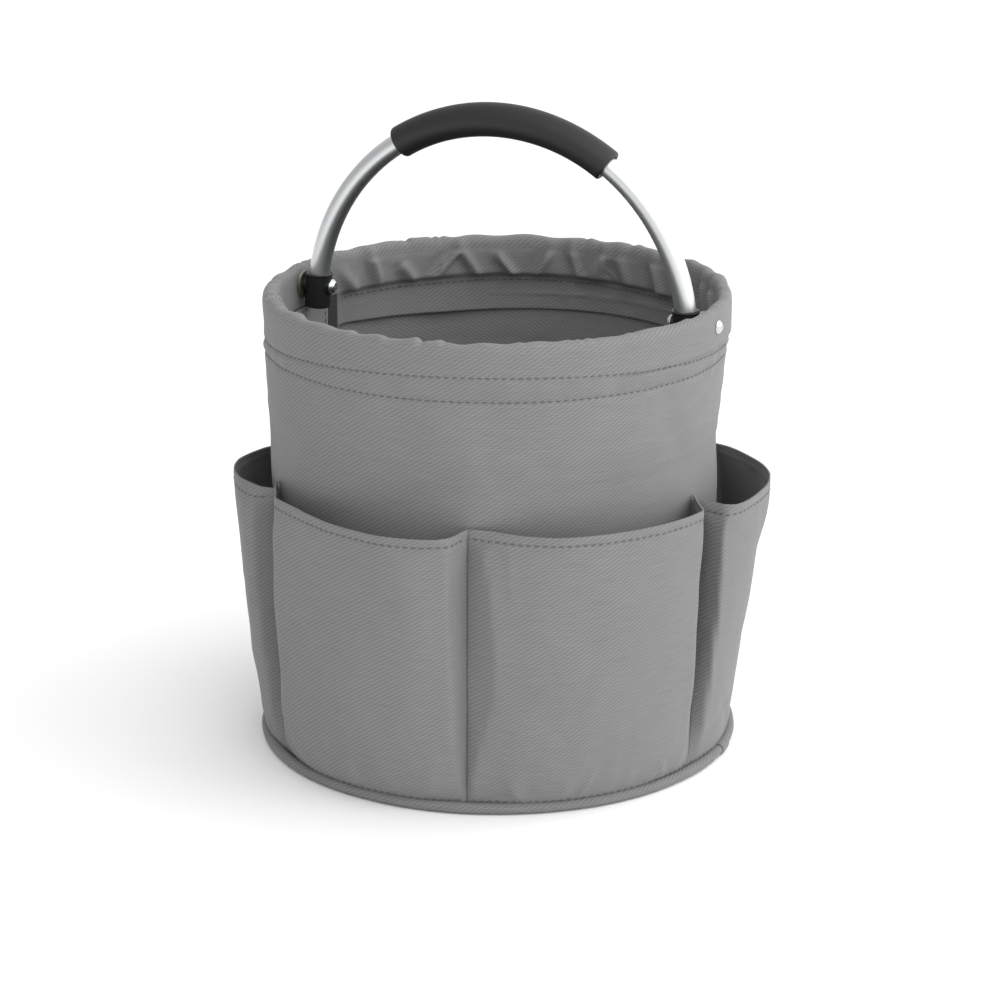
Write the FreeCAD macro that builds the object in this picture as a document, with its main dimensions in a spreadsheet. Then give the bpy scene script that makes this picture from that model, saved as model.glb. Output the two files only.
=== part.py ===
import FreeCAD, Part
import math
import os
import Sketcher
from FreeCAD import Placement, Rotation, Vector

# Round fabric bucket with an aluminium rim hoop, a fold-down arch handle and six outside pockets.
# Millimetres and degrees.  Own frame: origin at the centre of the base, on the floor, +Z up, the
# handle's pivot axis along X.  Azimuths around the bucket start at -Y and grow towards +X.

SIZES = [
    # the fabric tub
    ("body_height", 265.0, "floor to the top of the rim"),
    ("rim_radius", 133.0, "outside of the cloth at the rim and at the base"),
    ("waist_inset", 5.3, "how far the narrowest ring lies inside the rim's radius"),
    ("waist_rise", 21.0, "pockets' top edge up to the narrowest ring"),
    ("cloth", 1.2, "thickness of the sewn cloth"),
    ("casing_depth", 33.0, "rim top down to where the wall becomes the straight casing"),
    ("hem_gap", 5.6, "width of the channel in the casing"),
    ("hem_depth", 44.0, "rim top down to the edge of the turned-in hem"),
    ("hole_play", 0.1, "play between cloth or hoop and the metal that passes through"),
    # the hoop in the casing
    ("hoop_thickness", 5.0, "radial thickness of the aluminium band"),
    ("hoop_width", 15.0, "height of the aluminium band"),
    ("hoop_play", 0.3, "play of the hoop in its channel"),
    # the base
    ("board_inset", 4.5, "edge of the stiff board inside the wall's foot"),
    ("board_thickness", 3.0, "thickness of the board"),
    ("lining_inset", 1.9, "edge of the lining inside the wall's foot"),
    ("layer_gap", 0.1, "play between the layers of the base"),
    ("piping_roll", 3.0, "radius of the piping's roll"),
    ("piping_offset", 3.9, "ring that the roll follows, outside the wall's foot"),
    ("flange_thickness", 1.4, "thickness of the piping's seam allowance"),
    ("join_wrap", 0.7, "thickness of the band over the piping's join"),
    ("join_length", 11.0, "length of that band along the ring"),
    ("join_azimuth", 94.0, "where the piping's ends meet"),
    # the pockets
    ("pocket_height", 161.0, "floor to the pockets' top edge"),
    ("pocket_lift", 1.0, "gap between the piping and the pockets' lower edge"),
    ("pocket_knee", 26.0, "height where the lower bulge ends"),
    ("bulge_top", 21.0, "how far a pocket's front stands off the wall's foot at its top edge"),
    ("bulge_knee", 12.0, "the same at the knee"),
    ("bulge_foot", 7.1, "the same at the lower edge"),
    ("corner_top", 12.5, "how far the folded corners stand off the wall's foot at the top edge"),
    ("corner_knee", 8.0, "the same at the knee"),
    ("corner_foot", 4.5, "the same at the lower edge"),
    ("gusset_top", 8.0, "azimuth from the seam to the folded corner at the top"),
    ("gusset_foot", 2.5, "azimuth from the seam to the folded corner at the lower edge"),
    ("seam_gap", 0.3, "play between a seam and the wall, and half the play between two pockets"),
    ("seam_slant", 1.3, "width of a panel's sewn edge, in thicknesses of the cloth"),
    # the handle
    ("arch_drop", 9.0, "how far the arch's centre lies below the pivot axis"),
    ("tube_radius", 6.0, "outside of the aluminium tube"),
    ("tube_wall", 1.2, "wall of the tube"),
    ("tube_overrun", 0.6, "azimuth by which the tube passes its horizontal diameter at each end"),
    ("tube_hole_play", 0.15, "play of the bolt in the tube's cross holes"),
    ("grip_wall", 3.6, "thickness of the soft grip"),
    ("grip_half_angle", 33.75, "half of the arc that the grip covers"),
    ("grip_turn", 1.7, "how far the grip sits off the crown, towards +X"),
    ("grip_round", 1.6, "rounding of the grip's ends"),
    ("bore_overrun", 2.0, "azimuth by which the grip's bore is cut past its ends"),
    ("sleeve_fit", 0.05, "play of the tube in the grip and the sockets"),
    # the pivots
    ("pivot_depth", 10.0, "rim top down to the pivot axis"),
    ("socket_wall", 1.6, "wall of the end sockets"),
    ("socket_above", 7.5, "pivot axis to the socket's mouth"),
    ("socket_below", 12.5, "pivot axis to the socket's closed end"),
    ("socket_floor_gap", 0.1, "azimuth left between the tube's end and the socket's floor"),
    ("socket_round", 1.0, "rounding of the socket's closed end"),
    ("boss_radius", 5.0, "flat seat for the bolt head on the socket"),
    ("boss_rise", 0.5, "how far that seat stands off the socket's wall"),
    ("bolt_radius", 2.5, "shank of the M5 pivot bolt"),
    ("bolt_fit", 0.06, "running play on the pivot bolt"),
    ("bolt_end_gap", 0.2, "gap between the bolt's end and the cap nut's floor"),
    ("bolt_head_radius", 4.4, "button head"),
    ("bolt_head_height", 2.7, "button head"),
    ("bolt_head_edge", 0.6, "straight edge under the button head's dome"),
    ("bolt_dome_radius", 5.1, "radius of the dome"),
    ("bolt_flat_radius", 2.4, "flat on top of the dome"),
    ("hex_size", 3.0, "width across the flats of the hexagon socket"),
    ("hex_depth", 1.6, "depth of the hexagon socket"),
    ("turn_gap", 0.3, "play beside a part that turns"),
    ("washer_radius", 7.8, "spacer washer"),
    ("washer_thickness", 1.8, "spacer washer"),
    ("washer_play", 0.5, "gap between the flat washer and the curved hem, at its middle"),
    ("sleeve_radius", 3.2, "sleeve of the cap nut, through the hoop"),
    ("nut_fit", 0.02, "play of the bolt in the cap nut"),
    ("cap_radius", 4.0, "domed head of the cap nut"),
    ("cap_height", 2.4, "domed head of the cap nut"),
    ("cap_floor", 0.8, "metal left over the end of the bolt"),
    # the casing's closure under each pivot
    ("patch_width", 70.0, "hook-and-loop patch, along the hem"),
    ("patch_depth", 23.0, "rim top down to the patch's upper edge"),
    ("patch_thickness", 0.8, "patch"),
    ("flap_width", 50.0, "closing flap, along the hem"),
    ("flap_depth", 24.0, "rim top down to the flap's upper edge"),
    ("flap_reach", 41.5, "rim top down to the flap's lower edge"),
    ("flap_thickness", 1.0, "flap"),
    ("stack_gap", 0.1, "play between hem, patch and flap"),
]

# Azimuths of the six vertical seams that hold the pockets to the wall, in order round the bucket:
# two pockets in front, a narrower one on each side and two behind.
SEAM_AZIMUTHS = [("seam_1", 16.5), ("seam_2", 83.0), ("seam_3", 140.0),
                 ("seam_4", 201.0), ("seam_5", 262.0), ("seam_6", 310.0)]

doc = FreeCAD.newDocument("bucket_organizer")
sheet = doc.addObject("Spreadsheet::Sheet", "Sizes")
nodes = []


def fill_sheet():
    """Write every driving size into the sheet, with its meaning beside it."""
    rows = SIZES + [(alias, value, "azimuth of a pocket seam") for alias, value in SEAM_AZIMUTHS]
    for row, (alias, value, meaning) in enumerate(rows, start=1):
        sheet.set(f"A{row}", meaning)
        sheet.set(f"B{row}", str(value))
        sheet.setAlias(f"B{row}", alias)
    doc.recompute()


def number(expression):
    """The value of an expression on the sheet."""
    value = sheet.evalExpression(expression)
    return float(getattr(value, "Value", value))


def add(kind, name, **sizes):
    """Add an object whose properties follow expressions, with its name as its label."""
    item = doc.addObject(kind, name)
    item.Label = name
    for prop, expression in sizes.items():
        item.setExpression(prop, expression)
    return item


def place(item, x="0", y="0", z="0", axis=(0, 0, 1), angle="0"):
    """Turn an object about an axis and move it, both by expressions."""
    item.Placement = Placement(Vector(0, 0, 0), Rotation(Vector(*axis), 90))
    item.setExpression(".Placement.Rotation.Angle", angle)
    for name, expression in (("x", x), ("y", y), ("z", z)):
        item.setExpression(".Placement.Base." + name, expression)
    return item


def keep(item):
    """Mark an object as one of the pieces that are written out."""
    nodes.append(item)
    return item


def boolean(kind, name, base, tool):
    """A cut or a fuse of two objects."""
    item = doc.addObject(kind, name)
    item.Label = name
    item.Base = base
    item.Tool = tool
    return item


def cut(name, base, *tools):
    """Cut tools from a base, one after another; the last result takes the name."""
    for index, tool in enumerate(tools, start=1):
        label = name if index == len(tools) else f"{name}_cut_{index}"
        base = boolean("Part::Cut", label, base, tool)
    return base


def arc_between(start, end, radius):
    """Arc from start to end.  A positive radius turns left on the way, a negative one right."""
    chord = end - start
    half = chord.Length / 2
    rise = max(radius * radius - half * half, 0.0) ** 0.5
    left = Vector(-chord.y, chord.x, 0).normalize()
    side = 1 if radius > 0 else -1
    centre = start + chord * 0.5 + left * (rise * side)
    first, last = (start, end) if radius > 0 else (end, start)
    angles = [Vector(1, 0, 0).getAngle(point - centre) for point in (first, last)]
    turned = [angle if (point - centre).y >= 0 else -angle for angle, point in zip(angles, (first, last))]
    circle = Part.Circle(centre, Vector(0, 0, 1), abs(radius))
    return Part.ArcOfCircle(circle, turned[0], turned[1])


def tie_point(sketch, curve, end, x, y):
    """Hold one end of a curve at two expressions."""
    for kind, expression in (("DistanceX", x), ("DistanceY", y)):
        value = number(expression)
        index = sketch.addConstraint(Sketcher.Constraint(kind, -1, 1, curve, end, value))
        sketch.setExpression(f"Constraints[{index}]", expression)


def outline(sketch, corners):
    """Fill a sketch with a closed outline.

    Each corner is (x, y, radius), all expressions; the radius belongs to the arc that leads on to the
    next corner, with its sign in front, and is None for a straight line.
    """
    points = [Vector(number(x), number(y), 0) for x, y, _ in corners]
    ends = []
    for index, (x, y, radius) in enumerate(corners):
        start, finish = points[index], points[(index + 1) % len(points)]
        turns_right = radius is not None and radius.startswith("-")
        if radius is None:
            curve = sketch.addGeometry(Part.LineSegment(start, finish))
        else:
            curve = sketch.addGeometry(arc_between(start, finish, number(radius)))
            size = sketch.addConstraint(Sketcher.Constraint("Radius", curve, abs(number(radius))))
            sketch.setExpression(f"Constraints[{size}]", radius.lstrip("-"))
        ends.append((curve, 2, 1) if turns_right else (curve, 1, 2))
    for index, (curve, first, last) in enumerate(ends):
        following, following_first, _ = ends[(index + 1) % len(ends)]
        sketch.addConstraint(Sketcher.Constraint("Coincident", curve, last, following, following_first))
        tie_point(sketch, curve, first, corners[index][0], corners[index][1])


def revolved(name, corners):
    """A solid of revolution about Z from an outline of (radius, height, arc radius) corners."""
    sketch = doc.addObject("Sketcher::SketchObject", name + "_profile")
    sketch.Placement = Placement(Vector(0, 0, 0), Rotation(Vector(1, 0, 0), 90))
    outline(sketch, corners)
    solid = doc.addObject("Part::Revolution", name)
    solid.Label = name
    solid.Source = sketch
    solid.Axis = Vector(0, 0, 1)
    solid.Angle = 360
    solid.Solid = True
    return solid


def turned_body(name, corners):
    """A PartDesign body turned about its own Z axis from an outline."""
    body = doc.addObject("PartDesign::Body", name)
    body.Label = name
    sketch = body.newObject("Sketcher::SketchObject", name + "_profile")
    planes = {plane.Role: plane for plane in body.Origin.OriginFeatures}
    sketch.AttachmentSupport = [(planes["XZ_Plane"], "")]
    sketch.MapMode = "FlatFace"
    outline(sketch, corners)
    turning = body.newObject("PartDesign::Revolution", name + "_turning")
    turning.Profile = sketch
    turning.ReferenceAxis = (sketch, ["V_Axis"])
    turning.Angle = 360
    doc.recompute()
    return body


# ---------------------------------------------------------------- shared expressions

FOOT = "Sizes.rim_radius"
WAIST = "(Sizes.rim_radius - Sizes.waist_inset)"
WAIST_HEIGHT = "(Sizes.pocket_height + Sizes.waist_rise)"
CASING_FOOT = "(Sizes.body_height - Sizes.casing_depth)"
HEM_OUTER = "(Sizes.rim_radius - Sizes.cloth - Sizes.hem_gap)"
HEM_INNER = f"({HEM_OUTER} - Sizes.cloth)"
CHANNEL_MIDDLE = f"({HEM_OUTER} + Sizes.hem_gap / 2)"
FOLD_OUTER = "(Sizes.hem_gap / 2 + Sizes.cloth)"
FOLD_HEIGHT = f"(Sizes.body_height - {FOLD_OUTER})"
HEM_FOOT = "(Sizes.body_height - Sizes.hem_depth)"
BOARD_FOOT = "(Sizes.cloth + Sizes.layer_gap)"
LINING_FOOT = f"({BOARD_FOOT} + Sizes.board_thickness + Sizes.layer_gap)"
PIPING_RING = f"({FOOT} + Sizes.piping_offset)"
PIVOT_HEIGHT = "(Sizes.body_height - Sizes.pivot_depth)"
SOCKET_RADIUS = "(Sizes.tube_radius + Sizes.socket_wall)"
BOSS_REACH = f"({SOCKET_RADIUS} + Sizes.boss_rise)"
WASHER_OUTER = f"({HEM_INNER} - Sizes.washer_play)"
SOCKET_X = f"({WASHER_OUTER} - Sizes.washer_thickness - Sizes.turn_gap - {BOSS_REACH})"
ARCH_RADIUS = f"sqrt({SOCKET_X} * {SOCKET_X} + Sizes.arch_drop * Sizes.arch_drop)"
ARCH_HEIGHT = f"({PIVOT_HEIGHT} - Sizes.arch_drop)"
PIVOT_AZIMUTH = f"atan(Sizes.arch_drop / {SOCKET_X})"
GRIP_RADIUS = "(Sizes.tube_radius + Sizes.grip_wall)"
DRILL_START = "(Sizes.rim_radius / 2)"
PATCH_OUTER = f"({HEM_INNER} - Sizes.stack_gap)"
FLAP_OUTER = f"({PATCH_OUTER} - Sizes.patch_thickness - Sizes.stack_gap)"


# ---------------------------------------------------------------- the fabric tub

def pivot_drill(name, radius, side, start):
    """A cylinder along the pivot axis on one side, from an x outwards."""
    drill = add("Part::Cylinder", name, Radius=radius, Height="Sizes.rim_radius")
    turn = "90" if side > 0 else "-90"
    return place(drill, x=start if side > 0 else f"-{start}", z=PIVOT_HEIGHT, axis=(0, 1, 0), angle=turn)


def make_wall():
    """The tub's cloth: up the outside, over the hoop and down again as the turned-in hem."""
    rim, cloth = "Sizes.rim_radius", "Sizes.cloth"
    corners = [
        (FOOT, cloth, None),
        (WAIST, WAIST_HEIGHT, None),
        (rim, CASING_FOOT, None),
        (rim, FOLD_HEIGHT, FOLD_OUTER),
        (CHANNEL_MIDDLE, "Sizes.body_height", FOLD_OUTER),
        (HEM_INNER, FOLD_HEIGHT, None),
        (HEM_INNER, HEM_FOOT, None),
        (HEM_OUTER, HEM_FOOT, None),
        (HEM_OUTER, FOLD_HEIGHT, "-(Sizes.hem_gap / 2)"),
        (CHANNEL_MIDDLE, f"Sizes.body_height - {cloth}", "-(Sizes.hem_gap / 2)"),
        (f"{rim} - {cloth}", FOLD_HEIGHT, None),
        (f"{rim} - {cloth}", CASING_FOOT, None),
        (f"{WAIST} - {cloth}", WAIST_HEIGHT, None),
        (f"{FOOT} - {cloth}", cloth, None),
    ]
    blank = revolved("wall_blank", corners)
    tools = []
    sleeve_hole = "Sizes.sleeve_radius + Sizes.hole_play"
    bolt_hole = "Sizes.bolt_radius + Sizes.hole_play"
    for side, tag in ((1, "right"), (-1, "left")):
        tools.append(pivot_drill(f"wall_sleeve_hole_{tag}", sleeve_hole, side, HEM_OUTER))
        tools.append(pivot_drill(f"wall_bolt_hole_{tag}", bolt_hole, side, DRILL_START))
    keep(cut("bucket_wall", blank, *tools))


def make_hoop():
    """The aluminium band that keeps the rim round and carries the pivots."""
    top = f"({FOLD_HEIGHT} - Sizes.hoop_play)"
    foot = f"({top} - Sizes.hoop_width)"
    inner = f"({CHANNEL_MIDDLE} - Sizes.hoop_thickness / 2)"
    outer = f"({CHANNEL_MIDDLE} + Sizes.hoop_thickness / 2)"
    corners = [(inner, foot, None), (outer, foot, None), (outer, top, None), (inner, top, None)]
    blank = revolved("hoop_blank", corners)
    holes = [pivot_drill(f"hoop_hole_{tag}", "Sizes.sleeve_radius + Sizes.hole_play", side, DRILL_START)
             for side, tag in ((1, "right"), (-1, "left"))]
    keep(cut("rim_hoop", blank, *holes))


# ---------------------------------------------------------------- the base

def disc(name, radius, thickness, height):
    """A flat round layer of the base."""
    return keep(place(add("Part::Cylinder", name, Radius=radius, Height=thickness), z=height))


def make_base():
    """Outer cloth, stiff board and lining, and the piping round the base seam."""
    disc("base_cover", FOOT, "Sizes.cloth", "0")
    disc("base_board", f"{FOOT} - Sizes.board_inset", "Sizes.board_thickness", BOARD_FOOT)
    disc("base_lining", f"{FOOT} - Sizes.lining_inset", "Sizes.cloth", LINING_FOOT)
    ring, roll = PIPING_RING, "Sizes.piping_roll"
    half = "Sizes.flange_thickness / 2"
    reach = f"sqrt({roll} * {roll} - {half} * {half})"
    inner = f"({FOOT} + Sizes.layer_gap)"
    corners = [
        (inner, f"{roll} - {half}", None),
        (f"{ring} - {reach}", f"{roll} - {half}", f"{roll}"),
        (f"{ring}", "0", f"{roll}"),
        (f"{ring} + {roll}", roll, f"{roll}"),
        (f"{ring}", f"2 * {roll}", f"{roll}"),
        (f"{ring} - {reach}", f"{roll} + {half}", None),
        (inner, f"{roll} + {half}", None),
    ]
    keep(revolved("base_piping", corners))
    make_piping_join()


def make_piping_join():
    """The short band where the two ends of the piping meet."""
    angle = f"(Sizes.join_length / {PIPING_RING} * 180 / pi)"
    outer = add("Part::Torus", "join_outer", Radius1=PIPING_RING,
                Radius2="Sizes.piping_roll + Sizes.join_wrap", Angle3=angle)
    inner = add("Part::Torus", "join_inner", Radius1=PIPING_RING,
                Radius2="Sizes.piping_roll + Sizes.layer_gap / 2")
    for item in (outer, inner):
        place(item, z="Sizes.piping_roll", angle=f"Sizes.join_azimuth - 90 - {angle} / 2")
    above_floor = add("Part::Cylinder", "join_above_floor", Radius=f"2 * {PIPING_RING}",
                      Height="2 * Sizes.piping_roll + Sizes.join_wrap")
    trimmed = boolean("Part::Common", "join_trimmed", outer, above_floor)
    inside = add("Part::Cylinder", "join_inside", Radius=PIPING_RING, Height="3 * Sizes.piping_roll")
    keep(cut("piping_join", trimmed, inner, inside))


# ---------------------------------------------------------------- the pockets

def pocket_section(name, half_span, gusset, corner, bulge, seam_radius, height):
    """One level section of a pocket panel: seam, folded corner, bowed front, corner and seam.

    The section is drawn about the -Y direction; the outline runs along the outside and back inside.
    """
    cloth = "Sizes.cloth"
    slip = f"(Sizes.seam_slant * {cloth} / {seam_radius} * 180 / pi)"
    play = f"(Sizes.seam_gap / {seam_radius} * 180 / pi)"

    def spot(radius, azimuth, side):
        return f"{side} * {radius} * sin({azimuth})", f"-{radius} * cos({azimuth})"

    def front(radius, corner_radius, azimuth):
        rise = f"({radius} - {corner_radius} * cos({azimuth}))"
        reach = f"({corner_radius} * sin({azimuth}))"
        return f"(({rise} * {rise} + {reach} * {reach}) / (2 * {rise}))"

    edge = f"({half_span} - {play})"
    fold = f"({half_span} - {gusset})"
    inner_fold = f"({fold} - {slip})"
    inner_corner = f"({corner} - {cloth})"
    inner_bulge = f"({bulge} - {cloth})"
    corners = [
        (*spot(seam_radius, edge, -1), None),
        (*spot(corner, fold, -1), front(bulge, corner, fold)),
        (*spot(corner, fold, 1), None),
        (*spot(seam_radius, edge, 1), None),
        (*spot(seam_radius, f"({edge} - {slip})", 1), None),
        (*spot(inner_corner, inner_fold, 1), "-" + front(inner_bulge, inner_corner, inner_fold)),
        (*spot(inner_corner, inner_fold, -1), None),
        (*spot(seam_radius, f"({edge} - {slip})", -1), None),
    ]
    sketch = doc.addObject("Sketcher::SketchObject", name)
    outline(sketch, corners)
    sketch.setExpression(".Placement.Base.z", height)
    return sketch


def wall_at(height):
    """Outer radius of the wall at a height below the waist."""
    slope = f"({FOOT} - {WAIST}) / ({WAIST_HEIGHT} - Sizes.cloth)"
    return f"({FOOT} - ({height} - Sizes.cloth) * {slope} + Sizes.seam_gap)"


def make_pockets():
    """Six pocket panels between neighbouring seams."""
    aliases = ["Sizes." + alias for alias, _ in SEAM_AZIMUTHS]
    for index, start in enumerate(aliases, start=1):
        end = f"({aliases[index % len(aliases)]} + {360 if index == len(aliases) else 0})"
        half_span = f"(({end} - {start}) / 2)"
        levels = [("foot", "Sizes.gusset_foot", "(2 * Sizes.piping_roll + Sizes.pocket_lift)"),
                  ("knee", "(Sizes.gusset_top + Sizes.gusset_foot) / 2", "Sizes.pocket_knee"),
                  ("top", "Sizes.gusset_top", "Sizes.pocket_height")]
        sections = [pocket_section(f"pocket_{index}_{level}", half_span, f"({gusset})",
                                   f"({FOOT} + Sizes.corner_{level})", f"({FOOT} + Sizes.bulge_{level})",
                                   wall_at(height), height)
                    for level, gusset, height in levels]
        panel = doc.addObject("Part::Loft", f"pocket_{index}")
        panel.Label = f"pocket_{index}"
        panel.Sections = sections
        panel.Solid = True
        panel.Ruled = True
        keep(place(panel, angle=f"({start} + {end}) / 2"))


# ---------------------------------------------------------------- the pivots

def sector(name, outer, thickness, foot, top, width, side):
    """A curved plate that follows the hem, centred on one pivot."""
    angle = f"({width} / {outer} * 180 / pi)"
    turn = f"-{angle} / 2" if side > 0 else f"180 - {angle} / 2"
    height = f"{top} - {foot}"
    plate = place(add("Part::Cylinder", name + "_blank", Radius=outer, Height=height, Angle=angle),
                  z=foot, angle=turn)
    core = add("Part::Cylinder", name + "_core", Radius=f"{outer} - {thickness}", Height=height)
    place(core, z=foot)
    return keep(cut(name, plate, core))


def make_closure(side, tag):
    """The black hook-and-loop patch on the hem and the flap that closes over it."""
    sector(f"closure_patch_{tag}", PATCH_OUTER, "Sizes.patch_thickness", HEM_FOOT,
           "(Sizes.body_height - Sizes.patch_depth)",
           "Sizes.patch_width", side)
    sector(f"closure_flap_{tag}", FLAP_OUTER, "Sizes.flap_thickness",
           "(Sizes.body_height - Sizes.flap_reach)", "(Sizes.body_height - Sizes.flap_depth)",
           "Sizes.flap_width", side)


def aim(item, side, x):
    """Point a piece's own +Z axis inwards along the pivot axis, with its origin at an x."""
    turn = "-90" if side > 0 else "90"
    return keep(place(item, x=x if side > 0 else f"-{x}", z=PIVOT_HEIGHT, axis=(0, 1, 0), angle=turn))


def make_washer(side, tag):
    """Spacer washer between the socket and the hem."""
    inner = "(Sizes.bolt_radius + Sizes.bolt_fit)"
    corners = [
        (inner, "0", None),
        ("Sizes.washer_radius", "0", None),
        ("Sizes.washer_radius", "Sizes.washer_thickness", None),
        (inner, "Sizes.washer_thickness", None),
    ]
    aim(turned_body(f"spacer_washer_{tag}", corners), side, WASHER_OUTER)


def make_bolt(side, tag):
    """Button-head bolt whose head faces the middle of the bucket."""
    seat = f"({SOCKET_X} - {BOSS_REACH} - Sizes.turn_gap)"
    roof = "(Sizes.rim_radius + Sizes.layer_gap + Sizes.cap_height - Sizes.cap_floor)"
    tip = f"({seat} - {roof} + Sizes.bolt_end_gap)"
    head, rise = "Sizes.bolt_head_radius", "Sizes.bolt_head_height"
    corners = [
        ("0", tip, None),
        ("Sizes.bolt_radius", tip, None),
        ("Sizes.bolt_radius", "0", None),
        (head, "0", None),
        (head, "Sizes.bolt_head_edge", "Sizes.bolt_dome_radius"),
        ("Sizes.bolt_flat_radius", rise, None),
        ("0", rise, None),
    ]
    bolt = turned_body(f"pivot_bolt_{tag}", corners)
    recess = bolt.newObject("Sketcher::SketchObject", f"hexagon_{tag}")
    planes = {plane.Role: plane for plane in bolt.Origin.OriginFeatures}
    recess.AttachmentSupport = [(planes["XY_Plane"], "")]
    recess.MapMode = "FlatFace"
    recess.setExpression(".AttachmentOffset.Base.z", rise)
    across = "(Sizes.hex_size / 2)"
    corner = "(Sizes.hex_size / sqrt(3))"
    outline(recess, [(corner, "0", None), (f"{corner} / 2", across, None), (f"-{corner} / 2", across, None),
                     (f"-{corner}", "0", None), (f"-{corner} / 2", f"-{across}", None),
                     (f"{corner} / 2", f"-{across}", None)])
    solid_volume = bolt.Shape.Volume
    pocket = bolt.newObject("PartDesign::Pocket", f"hexagon_socket_{tag}")
    pocket.Profile = recess
    pocket.setExpression("Length", "Sizes.hex_depth")
    doc.recompute()
    if not bolt.Shape.Volume < solid_volume:
        raise RuntimeError("the hexagon socket cuts nothing")
    aim(bolt, side, seat)


def make_cap_nut(side, tag):
    """Cap nut: a low dome outside the cloth and a sleeve through the hoop."""
    sleeve = f"(Sizes.rim_radius + Sizes.layer_gap - {HEM_OUTER} - Sizes.hoop_play)"
    bore = "(Sizes.bolt_radius + Sizes.nut_fit)"
    roof = "(-(Sizes.cap_height - Sizes.cap_floor))"
    radius, rise = "Sizes.cap_radius", "Sizes.cap_height"
    crown = f"(({radius} * {radius} + {rise} * {rise}) / (2 * {rise}))"
    corners = [
        ("0", roof, None),
        (bore, roof, None),
        (bore, sleeve, None),
        ("Sizes.sleeve_radius", sleeve, None),
        ("Sizes.sleeve_radius", "0", None),
        ("Sizes.cap_radius", "0", "-" + crown),
        ("0", "-Sizes.cap_height", None),
    ]
    aim(turned_body(f"cap_nut_{tag}", corners), side, "(Sizes.rim_radius + Sizes.layer_gap)")


# ---------------------------------------------------------------- the handle

def arch_torus(name, radius, half_angle, turn="0"):
    """A piece of torus along the handle's arch, standing up in the XZ plane, centred on the crown.

    The turn moves its middle from the crown towards +X.
    """
    torus = add("Part::Torus", name, Radius1=ARCH_RADIUS, Radius2=radius, Angle3=f"2 * {half_angle}")
    start = number(f"90 - {half_angle} - {turn}")
    upright = Rotation(Vector(1, 0, 0), 90).multiply(Rotation(Vector(0, 0, 1), start))
    torus.Placement = Placement(Vector(0, 0, 0), upright)
    torus.setExpression(".Placement.Base.z", ARCH_HEIGHT)
    return torus


def make_tube():
    """The bent aluminium tube, cross-drilled at both ends for the pivot bolts."""
    half = "(90 + Sizes.tube_overrun)"
    outer = arch_torus("tube_outer", "Sizes.tube_radius", half)
    inner = arch_torus("tube_inner", "Sizes.tube_radius - Sizes.tube_wall", half)
    drills = [pivot_drill(f"tube_hole_{tag}", "Sizes.bolt_radius + Sizes.tube_hole_play", side, DRILL_START)
              for side, tag in ((1, "right"), (-1, "left"))]
    keep(cut("handle_tube", outer, inner, *drills))


def make_grip():
    """The soft sleeve over the crown of the tube, with rounded ends."""
    outer = arch_torus("grip_outer", GRIP_RADIUS, "Sizes.grip_half_angle", "Sizes.grip_turn")
    doc.recompute()
    rounded = doc.addObject("Part::Fillet", "grip_rounded")
    rounded.Base = outer
    radius = number("Sizes.grip_round")
    rounded.Edges = [(index, radius, radius) for index, edge in enumerate(outer.Shape.Edges, start=1)
                     if math.isclose(edge.Curve.Radius, number(GRIP_RADIUS))]
    bore = arch_torus("grip_bore", "Sizes.tube_radius + Sizes.sleeve_fit",
                      "(Sizes.grip_half_angle + Sizes.bore_overrun)", "Sizes.grip_turn")
    keep(cut("handle_grip", rounded, bore))


def make_socket(side, tag):
    """Moulded end socket: a closed cup on the tube's end with a flat-faced boss for the bolt."""
    lean = f"{'-' if side > 0 else ''}{PIVOT_AZIMUTH}"
    cup = add("Part::Cylinder", f"socket_cup_{tag}", Radius=SOCKET_RADIUS,
              Height="Sizes.socket_above + Sizes.socket_below")
    down = f"(Sizes.socket_below * cos({PIVOT_AZIMUTH}))"
    out = f"({SOCKET_X} + Sizes.socket_below * sin({PIVOT_AZIMUTH}))"
    place(cup, x=out if side > 0 else f"-{out}", z=f"{PIVOT_HEIGHT} - {down}", axis=(0, 1, 0), angle=lean)
    doc.recompute()
    rounded = doc.addObject("Part::Fillet", f"socket_rounded_{tag}")
    rounded.Base = cup
    radius = number("Sizes.socket_round")
    lowest = min(cup.Shape.Edges, key=lambda edge: edge.BoundBox.ZMax)
    rounded.Edges = [(index, radius, radius) for index, edge in enumerate(cup.Shape.Edges, start=1)
                     if edge.isSame(lowest)]
    boss = add("Part::Cylinder", f"socket_boss_{tag}", Radius="Sizes.boss_radius", Height=f"2 * {BOSS_REACH}")
    near = f"({SOCKET_X} - {BOSS_REACH})"
    place(boss, x=near if side > 0 else f"-{near}", z=PIVOT_HEIGHT, axis=(0, 1, 0),
          angle="90" if side > 0 else "-90")
    blank = boolean("Part::Fuse", f"socket_blank_{tag}", rounded, boss)
    bore = arch_torus(f"socket_bore_{tag}", "Sizes.tube_radius + Sizes.sleeve_fit",
                      "(90 + Sizes.tube_overrun + Sizes.socket_floor_gap)")
    drill = pivot_drill(f"socket_drill_{tag}", "Sizes.bolt_radius + Sizes.bolt_fit", side, DRILL_START)
    keep(cut(f"socket_{tag}", blank, bore, drill))


# ---------------------------------------------------------------- build, check and write

def check():
    """Stop unless every object computed and every piece is a valid closed solid."""
    for item in doc.Objects:
        if "Invalid" in item.State or "Error" in item.State:
            raise RuntimeError(f"{item.Label} did not compute: {item.State}")
    for item in nodes:
        shape = item.Shape
        if shape.isNull() or not shape.isValid() or not shape.Solids:
            raise RuntimeError(f"{item.Label} is not a valid solid")
        print(f"{item.Label:22s} solids {len(shape.Solids)}  volume {shape.Volume / 1000:9.2f} cm3")


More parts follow.
